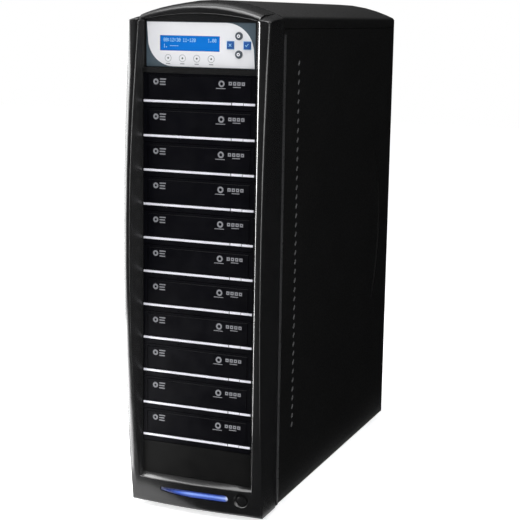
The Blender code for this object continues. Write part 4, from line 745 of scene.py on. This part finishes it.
DRIVE_COUNT, DRIVE_TOP, DRIVE_PITCH = 11, 550.8, 42.5
STRIP_HIGH, STRIP_LOW, STRIP_REVEAL = 32.7, 35.5, 0.05
STRIP_FRONT, STRIP_BACK, STRIP_BEVEL = -0.86, 0.5, 0.25
STRIP_STRETCHES = ((-74.0, 43.3), (59.15, 74.0))
DOOR_FRONT, DOOR_PRINT_FRONT, DOOR_PRINT_THICK = 0.3, 0.02, 0.05
BADGE_DROP = 10.5
LEFT_BADGE_X, LEFT_BADGE, LEFT_BADGE_HOLE = -57.3, 3.6, 1.5
LINES_X, LINE_WIDTHS, LINE_HEIGHT, LINE_PITCH = -52.0, (8.4, 7.4, 7.8), 1.5, 3.2
RIGHT_BADGE_X, RIGHT_BADGE, RIGHT_BADGE_HOLE = 30.0, 4.0, 2.0
BADGE_LINE, BADGE_LINE_X, BADGE_LINE_DROP = (12.5, 0.9), 29.0, 5.6
TILE, TILE_HOLE, TILE_COUNT = (4.2, 4.2), (1.6, 1.4), 4
TILES_X, TILE_PITCH, TILE_RISE = 41.4, 5.6, 0.6
CAPTION, CAPTION_X, CAPTION_DROP = (10.0, 1.0), 50.0, 3.6


def bar_mesh(name, bars, bevel):
    """Bars with eased edges: each is ((x0, x1), (y0, y1), (z0, z1))."""
    mesh = bmesh.new()
    for (x0, x1), (y0, y1), (z0, z1) in bars:
        low, high = at(x0, y0, z0), at(x1, y1, z1)
        for vert in bmesh.ops.create_cube(mesh, size=1.0)["verts"]:
            vert.co = Vector([low[i] if vert.co[i] < 0 else high[i] for i in range(3)])
    edges = list(mesh.edges)
    bmesh.ops.bevel(mesh, geom=edges, offset=bevel * MM, segments=2, profile=0.5, affect="EDGES")
    return mesh_data(name, mesh, 40)


def dress_drive(number):
    """A drive's silver strip, which leaves room for the eject button, and the prints on its door."""
    top = DRIVE_TOP - DRIVE_PITCH * (number - 1)
    heights = (top - STRIP_LOW - STRIP_REVEAL, top - STRIP_HIGH + STRIP_REVEAL)
    bars = [(stretch, (STRIP_FRONT, STRIP_BACK), heights) for stretch in STRIP_STRETCHES]
    name = f"drive_{number:02d}_strip"
    add_piece(name, bar_mesh(name, bars, STRIP_BEVEL), silver_look, "tower")
    z = top - BADGE_DROP
    marks = [ring(LEFT_BADGE, (LEFT_BADGE_X, z), 32)]
    gaps = [ring(LEFT_BADGE_HOLE, (LEFT_BADGE_X, z), 24)]
    for i, width in enumerate(LINE_WIDTHS):
        marks.append(slab(width, LINE_HEIGHT, (LINES_X + width / 2, z + LINE_PITCH * (1 - i))))
    marks.append(ring(RIGHT_BADGE, (RIGHT_BADGE_X, z), 32))
    marks.append(slab(*BADGE_LINE, (BADGE_LINE_X, z - BADGE_LINE_DROP)))
    gaps.append(ring(RIGHT_BADGE_HOLE, (RIGHT_BADGE_X, z), 24))
    for i in range(TILE_COUNT):
        place = (TILES_X + TILE_PITCH * i, z + TILE_RISE)
        marks.append(slab(*TILE, place))
        gaps.append(slab(*TILE_HOLE, place))
    marks.append(slab(*CAPTION, (CAPTION_X, z - CAPTION_DROP)))
    name = f"drive_{number:02d}_marks"
    mesh = flat_shapes(name, marks, -DOOR_FRONT - DOOR_PRINT_FRONT, DOOR_PRINT_THICK, gaps)
    add_piece(name, mesh, mark_ink, f"tray_{number:02d}")


for number in range(1, DRIVE_COUNT + 1):
    dress_drive(number)

# Side panels: pressed lips at the slanted slits, and the folded line behind the front frame. Both are the
# panel's paint drawn far paler, as painted highlight of the light they catch.

VENT_COUNT, VENT_PITCH, VENT_TOP, VENT_SETBACK = 40, 12.0, 564.5, 101.0
VENT_LENGTH, VENT_WIDTH, VENT_TILT = 7.8, 2.6, math.radians(38)
TONGUE_LENGTH, TONGUE_WIDTH = VENT_LENGTH - 0.5, 0.98 * VENT_WIDTH
TONGUE_STEPS, TONGUE_END_SHARE, TONGUE_SINK = 6, 0.15, 0.04
PANEL_FRONT, PANEL_LOW, PANEL_HIGH = 48.9, 2.2, 599.0

# Distances out of the sheet, and back from the panel's front edge

HEM_SECTION = (
    (0.02, 0.1),
    (0.55, 0.9),
    (0.85, 2.0),
    (0.95, 3.2),
    (0.85, 5.6),
    (0.45, 6.6),
    (0.02, 7.0),
    (-0.6, 7.0),
    (-0.6, 0.1),
)

# Shares of the lip's width across the slit, and distances into the sheet

TONGUE_SECTION = (
    (-0.5, 1.1),
    (-0.1, 0.45),
    (0.45, -0.75),
    (0.75, -0.45),
    (0.9, 0.0),
    (0.5, 0.0),
    (0.5, 0.6),
    (-0.1, 1.35),
    (-0.5, 1.7),
)


def loft(name, lofts, sharp):
    """Closed walls through rows of closed sections, with both ends shut."""
    mesh = bmesh.new()
    for sections in lofts:
        made = [[mesh.verts.new(at(*point)) for point in section] for section in sections]
        for near, far in zip(made, made[1:]):
            for i in range(len(near)):
                j = (i + 1) % len(near)
                mesh.faces.new((near[i], near[j], far[j], far[i]))
        mesh.faces.new(made[0])
        mesh.faces.new(made[-1])
    bmesh.ops.recalc_face_normals(mesh, faces=mesh.faces)
    return mesh_data(name, mesh, sharp)


def vent_tongue(side, centre_z):
    """One pressed lip: sunk at the slit's front edge, proud at its rear one and fullest in the middle."""
    tongue = []
    for i in range(TONGUE_STEPS + 1):
        along = (i / TONGUE_STEPS - 0.5) * TONGUE_LENGTH
        bulge = math.sqrt(max(0.0, 1 - (2 * i / TONGUE_STEPS - 1) ** 2))
        fullness = bulge * (1 - TONGUE_END_SHARE) + TONGUE_END_SHARE
        section = []
        for across, sink in TONGUE_SECTION:
            u = across * TONGUE_WIDTH
            y = VENT_SETBACK + along * math.sin(VENT_TILT) + u * math.cos(VENT_TILT)
            z = centre_z + along * math.cos(VENT_TILT) - u * math.sin(VENT_TILT)
            section.append((side * (HALF_WIDTH - TONGUE_SINK - sink * fullness), y, z))
        tongue.append(section)
    return tongue


def dress_side(side, name):
    tongues = [vent_tongue(side, VENT_TOP - VENT_PITCH * i) for i in range(VENT_COUNT)]
    mesh = loft(f"{name}_vent_tongues", tongues, 50)
    # The lips' shape catches real light; their pale colour is painted highlight on top of it
    add_piece(f"{name}_vent_tongues", mesh, lit_tongue_look, "tower")
    hem = [
        [(side * (HALF_WIDTH + out), PANEL_FRONT + back, z) for out, back in HEM_SECTION]
        for z in (PANEL_LOW, PANEL_HIGH)
    ]
    mesh = loft(f"{name}_panel_hem", [hem], 40)
    # The hem's rounded edge catches real light; its pale colour is painted highlight on top of it
    add_piece(f"{name}_panel_hem", mesh, lit_hem_look, "tower")


dress_side(1, "right")
dress_side(-1, "left")

# Fan screws: pan heads on the back

CASE_BACK = 510.0
SCREW_RADIUS, SCREW_HEIGHT = 2.9, 1.1
FAN_HEIGHTS = {"lower": 205.0, "upper": 420.0}
FAN_SCREW_REACH = 41.2
FAN_CORNERS = ((-1, -1), (1, -1), (1, 1), (-1, 1))

for name, height in FAN_HEIGHTS.items():
    for i, (u, v) in enumerate(FAN_CORNERS):
        place = (FAN_SCREW_REACH * u, CASE_BACK - SCREW_HEIGHT, height + FAN_SCREW_REACH * v)
        screw = f"{name}_fan_screw_{i + 1}"
        dome(screw, SCREW_RADIUS, SCREW_HEIGHT, place, screw_look, axis=1)

# Light

# Each lamp's name, place, target and size in metres, radiance, and whether it acts on gloss alone
LAMP_ROWS = (
    ("left_box", (-0.62, -0.12, 0.45), (0.0, -0.12, 0.45), (0.65, 0.86), 6.0, False),
    ("top_box", (-0.30, -0.50, 1.75), (-0.10, -0.25, 0.30), (0.90, 1.10), 6.5, False),
    ("left_strip", (-0.32, -0.365, 0.33), (0.0, -0.365, 0.33), (0.19, 0.65), 9.0, True),
    ("left_rear_strip", (-0.32, -0.085, 0.33), (0.0, -0.085, 0.33), (0.36, 0.65), 1.6, True),
    ("low_strip", (-0.17, -0.335, 0.115), (0.0, -0.335, 0.115), (0.15, 0.22), 9.0, True),
    ("right_strip", (0.285, -0.47, 0.34), (0.094, -0.25, 0.34), (0.09, 0.67), 8.0, True),
    ("crown_strip", (0.12, -0.52, 1.45), (0.0, -0.25, 0.64), (0.30, 0.30), 14.0, True),
    ("right_box", (0.95, -0.85, 0.36), (0.0, -0.25, 0.36), (0.45, 0.68), 3.0, False),
)


def area(name, place, target, size, radiance, gloss_only):
    """A rectangular lamp. The gloss-only ones draw the bright lines on the rounded edges."""
    data = bpy.data.lights.new(name, "AREA")
    data.shape = "RECTANGLE"
    data.size, data.size_y = size
    data.energy = radiance * size[0] * size[1] * math.pi
    lamp = bpy.data.objects.new(name, data)
    lamp.location = place
    lamp.rotation_euler = (Vector(target) - Vector(place)).to_track_quat("-Z", "Y").to_euler()
    bpy.context.scene.collection.objects.link(lamp)
    lamp.visible_camera = False
    lamp.visible_diffuse = not gloss_only


for row in LAMP_ROWS:
    area(*row)

# Background: white where it is seen or mirrored, and a dim cool sky for the rest

SKY_SEEN, SKY_LIGHT, SKY_STRENGTH = (1, 1, 1, 1), (0.95, 0.97, 1.0, 1), 0.45
SEEN_RAYS = ("Is Camera Ray", "Is Glossy Ray", "Is Transmission Ray")


def seen_or_mirrored(tree):
    """A socket that is 1 for rays from the camera, from gloss and through glass."""
    path = tree.nodes.new("ShaderNodeLightPath")
    rays = path.outputs[SEEN_RAYS[0]]
    for kind in SEEN_RAYS[1:]:
        either = tree.nodes.new("ShaderNodeMath")
        either.operation = "MAXIMUM"
        tree.links.new(rays, either.inputs[0])
        tree.links.new(path.outputs[kind], either.inputs[1])
        rays = either.outputs[0]
    return rays


def set_world():
    world = bpy.data.worlds.new("studio")
    bpy.context.scene.world = world
    world.use_nodes = True
    tree = world.node_tree
    tree.nodes.clear()
    rays = seen_or_mirrored(tree)
    seen = tree.nodes.new("ShaderNodeBackground")
    seen.inputs["Color"].default_value = SKY_SEEN
    dim = tree.nodes.new("ShaderNodeBackground")
    dim.inputs["Color"].default_value = SKY_LIGHT
    dim.inputs["Strength"].default_value = SKY_STRENGTH
    mixed = tree.nodes.new("ShaderNodeMixShader")
    tree.links.new(rays, mixed.inputs["Fac"])
    tree.links.new(dim.outputs[0], mixed.inputs[1])
    tree.links.new(seen.outputs[0], mixed.inputs[2])
    out = tree.nodes.new("ShaderNodeOutputWorld")
    tree.links.new(mixed.outputs[0], out.inputs["Surface"])


set_world()
bpy.context.scene.view_settings.view_transform = "Standard"

# Floor, and black cards that keep the white room out of the gloss. Their places are in metres.

FLOOR_REACH = 6.0
FLOOR_SHADES = ((0.90, 0.90, 0.90), (0.93, 0.93, 0.93))
FLOOR_GLOW = 0.70
CLOTH_SHADES = ((0.004, 0.004, 0.004), (0.008, 0.008, 0.008))
ROOM_LEFT, ROOM_RIGHT, ROOM_FRONT, ROOM_BACK = -1.9, 2.6, -2.4, 2.4
WALL_TOP, BACK_WALL_LEFT, BACK_WALL_TOP = 2.6, -2.2, 2.4
CARD_Z, CARD_NEAR = 0.002, -0.25

# Where the front card's near edge draws back, so that the chin's left end mirrors some of the floor

CARD_CUT = ((0.02, -0.252), (-0.12, -0.30), (-1.0, -0.36))
SIDE_CARD_LEFT = 0.097


def add_stage(name, corners, look, seen=True):
    mesh = bpy.data.meshes.new(name)
    mesh.from_pydata([Vector(c) for c in corners], [], [tuple(range(len(corners)))])
    mesh.materials.append(look)
    made = bpy.data.objects.new(name, mesh)
    bpy.context.scene.collection.objects.link(made)
    made.visible_camera = seen
    return made


def floor_look():
    """White ground: its own pale glow where it is seen or mirrored, and the object's shadow on it."""
    make = Maker("floor_look")
    make.set(Roughness=0.9, Specular_IOR_Level=0.1)
    make.colour(make.mix(make.noise(8.0), *FLOOR_SHADES))
    glow = make.node("ShaderNodeEmission")
    glow.inputs["Strength"].default_value = FLOOR_GLOW
    both = make.node("ShaderNodeAddShader")
    make.link(make.shader.outputs[0], both.inputs[0])
    make.link(glow.outputs[0], both.inputs[1])
    mixed = make.node("ShaderNodeMixShader")
    make.link(seen_or_mirrored(make.tree), mixed.inputs["Fac"])
    make.link(make.shader.outputs[0], mixed.inputs[1])
    make.link(both.outputs[0], mixed.inputs[2])
    make.link(mixed.outputs[0], make.tree.nodes["Material Output"].inputs["Surface"])
    return make.material


def cloth_look():
    """Black cloth for the cards."""
    make = Maker("flag_look")
    make.set(Roughness=1.0, Specular_IOR_Level=0.0)
    make.colour(make.mix(make.noise(3.0), *CLOTH_SHADES))
    return make.material


def standing(start, end, top):
    """The corners of an upright card between two places on the floor."""
    return [(*start, 0), (*end, 0), (*end, top), (*start, top)]


def lying(*places):
    """The corners of a card just above the floor."""
    return [(*place, CARD_Z) for place in places]


floor_corners = [(u * FLOOR_REACH, v * FLOOR_REACH, 0) for u, v in ((-1, -1), (1, -1), (1, 1), (-1, 1))]
add_stage("floor", floor_corners, floor_look())
front_left, front_right = (ROOM_LEFT, ROOM_FRONT), (ROOM_RIGHT, ROOM_FRONT)
back_right = (ROOM_RIGHT, ROOM_BACK)
side_card = [(SIDE_CARD_LEFT, CARD_NEAR), (ROOM_RIGHT, CARD_NEAR), back_right, (SIDE_CARD_LEFT, ROOM_BACK)]
FLAGS = {
    "front": standing(front_left, front_right, WALL_TOP),
    "right": standing(front_right, back_right, WALL_TOP),
    "back": standing((BACK_WALL_LEFT, ROOM_BACK), back_right, BACK_WALL_TOP),
    "front_ground": lying(front_left, front_right, (ROOM_RIGHT, CARD_NEAR), *CARD_CUT),
    "right_ground": lying(*side_card),
}
cloth = cloth_look()
for name, corners in FLAGS.items():
    card = add_stage(f"{name}_flag", corners, cloth, seen=False)
    card.visible_diffuse = False
    card.visible_shadow = False
    card.visible_transmission = False
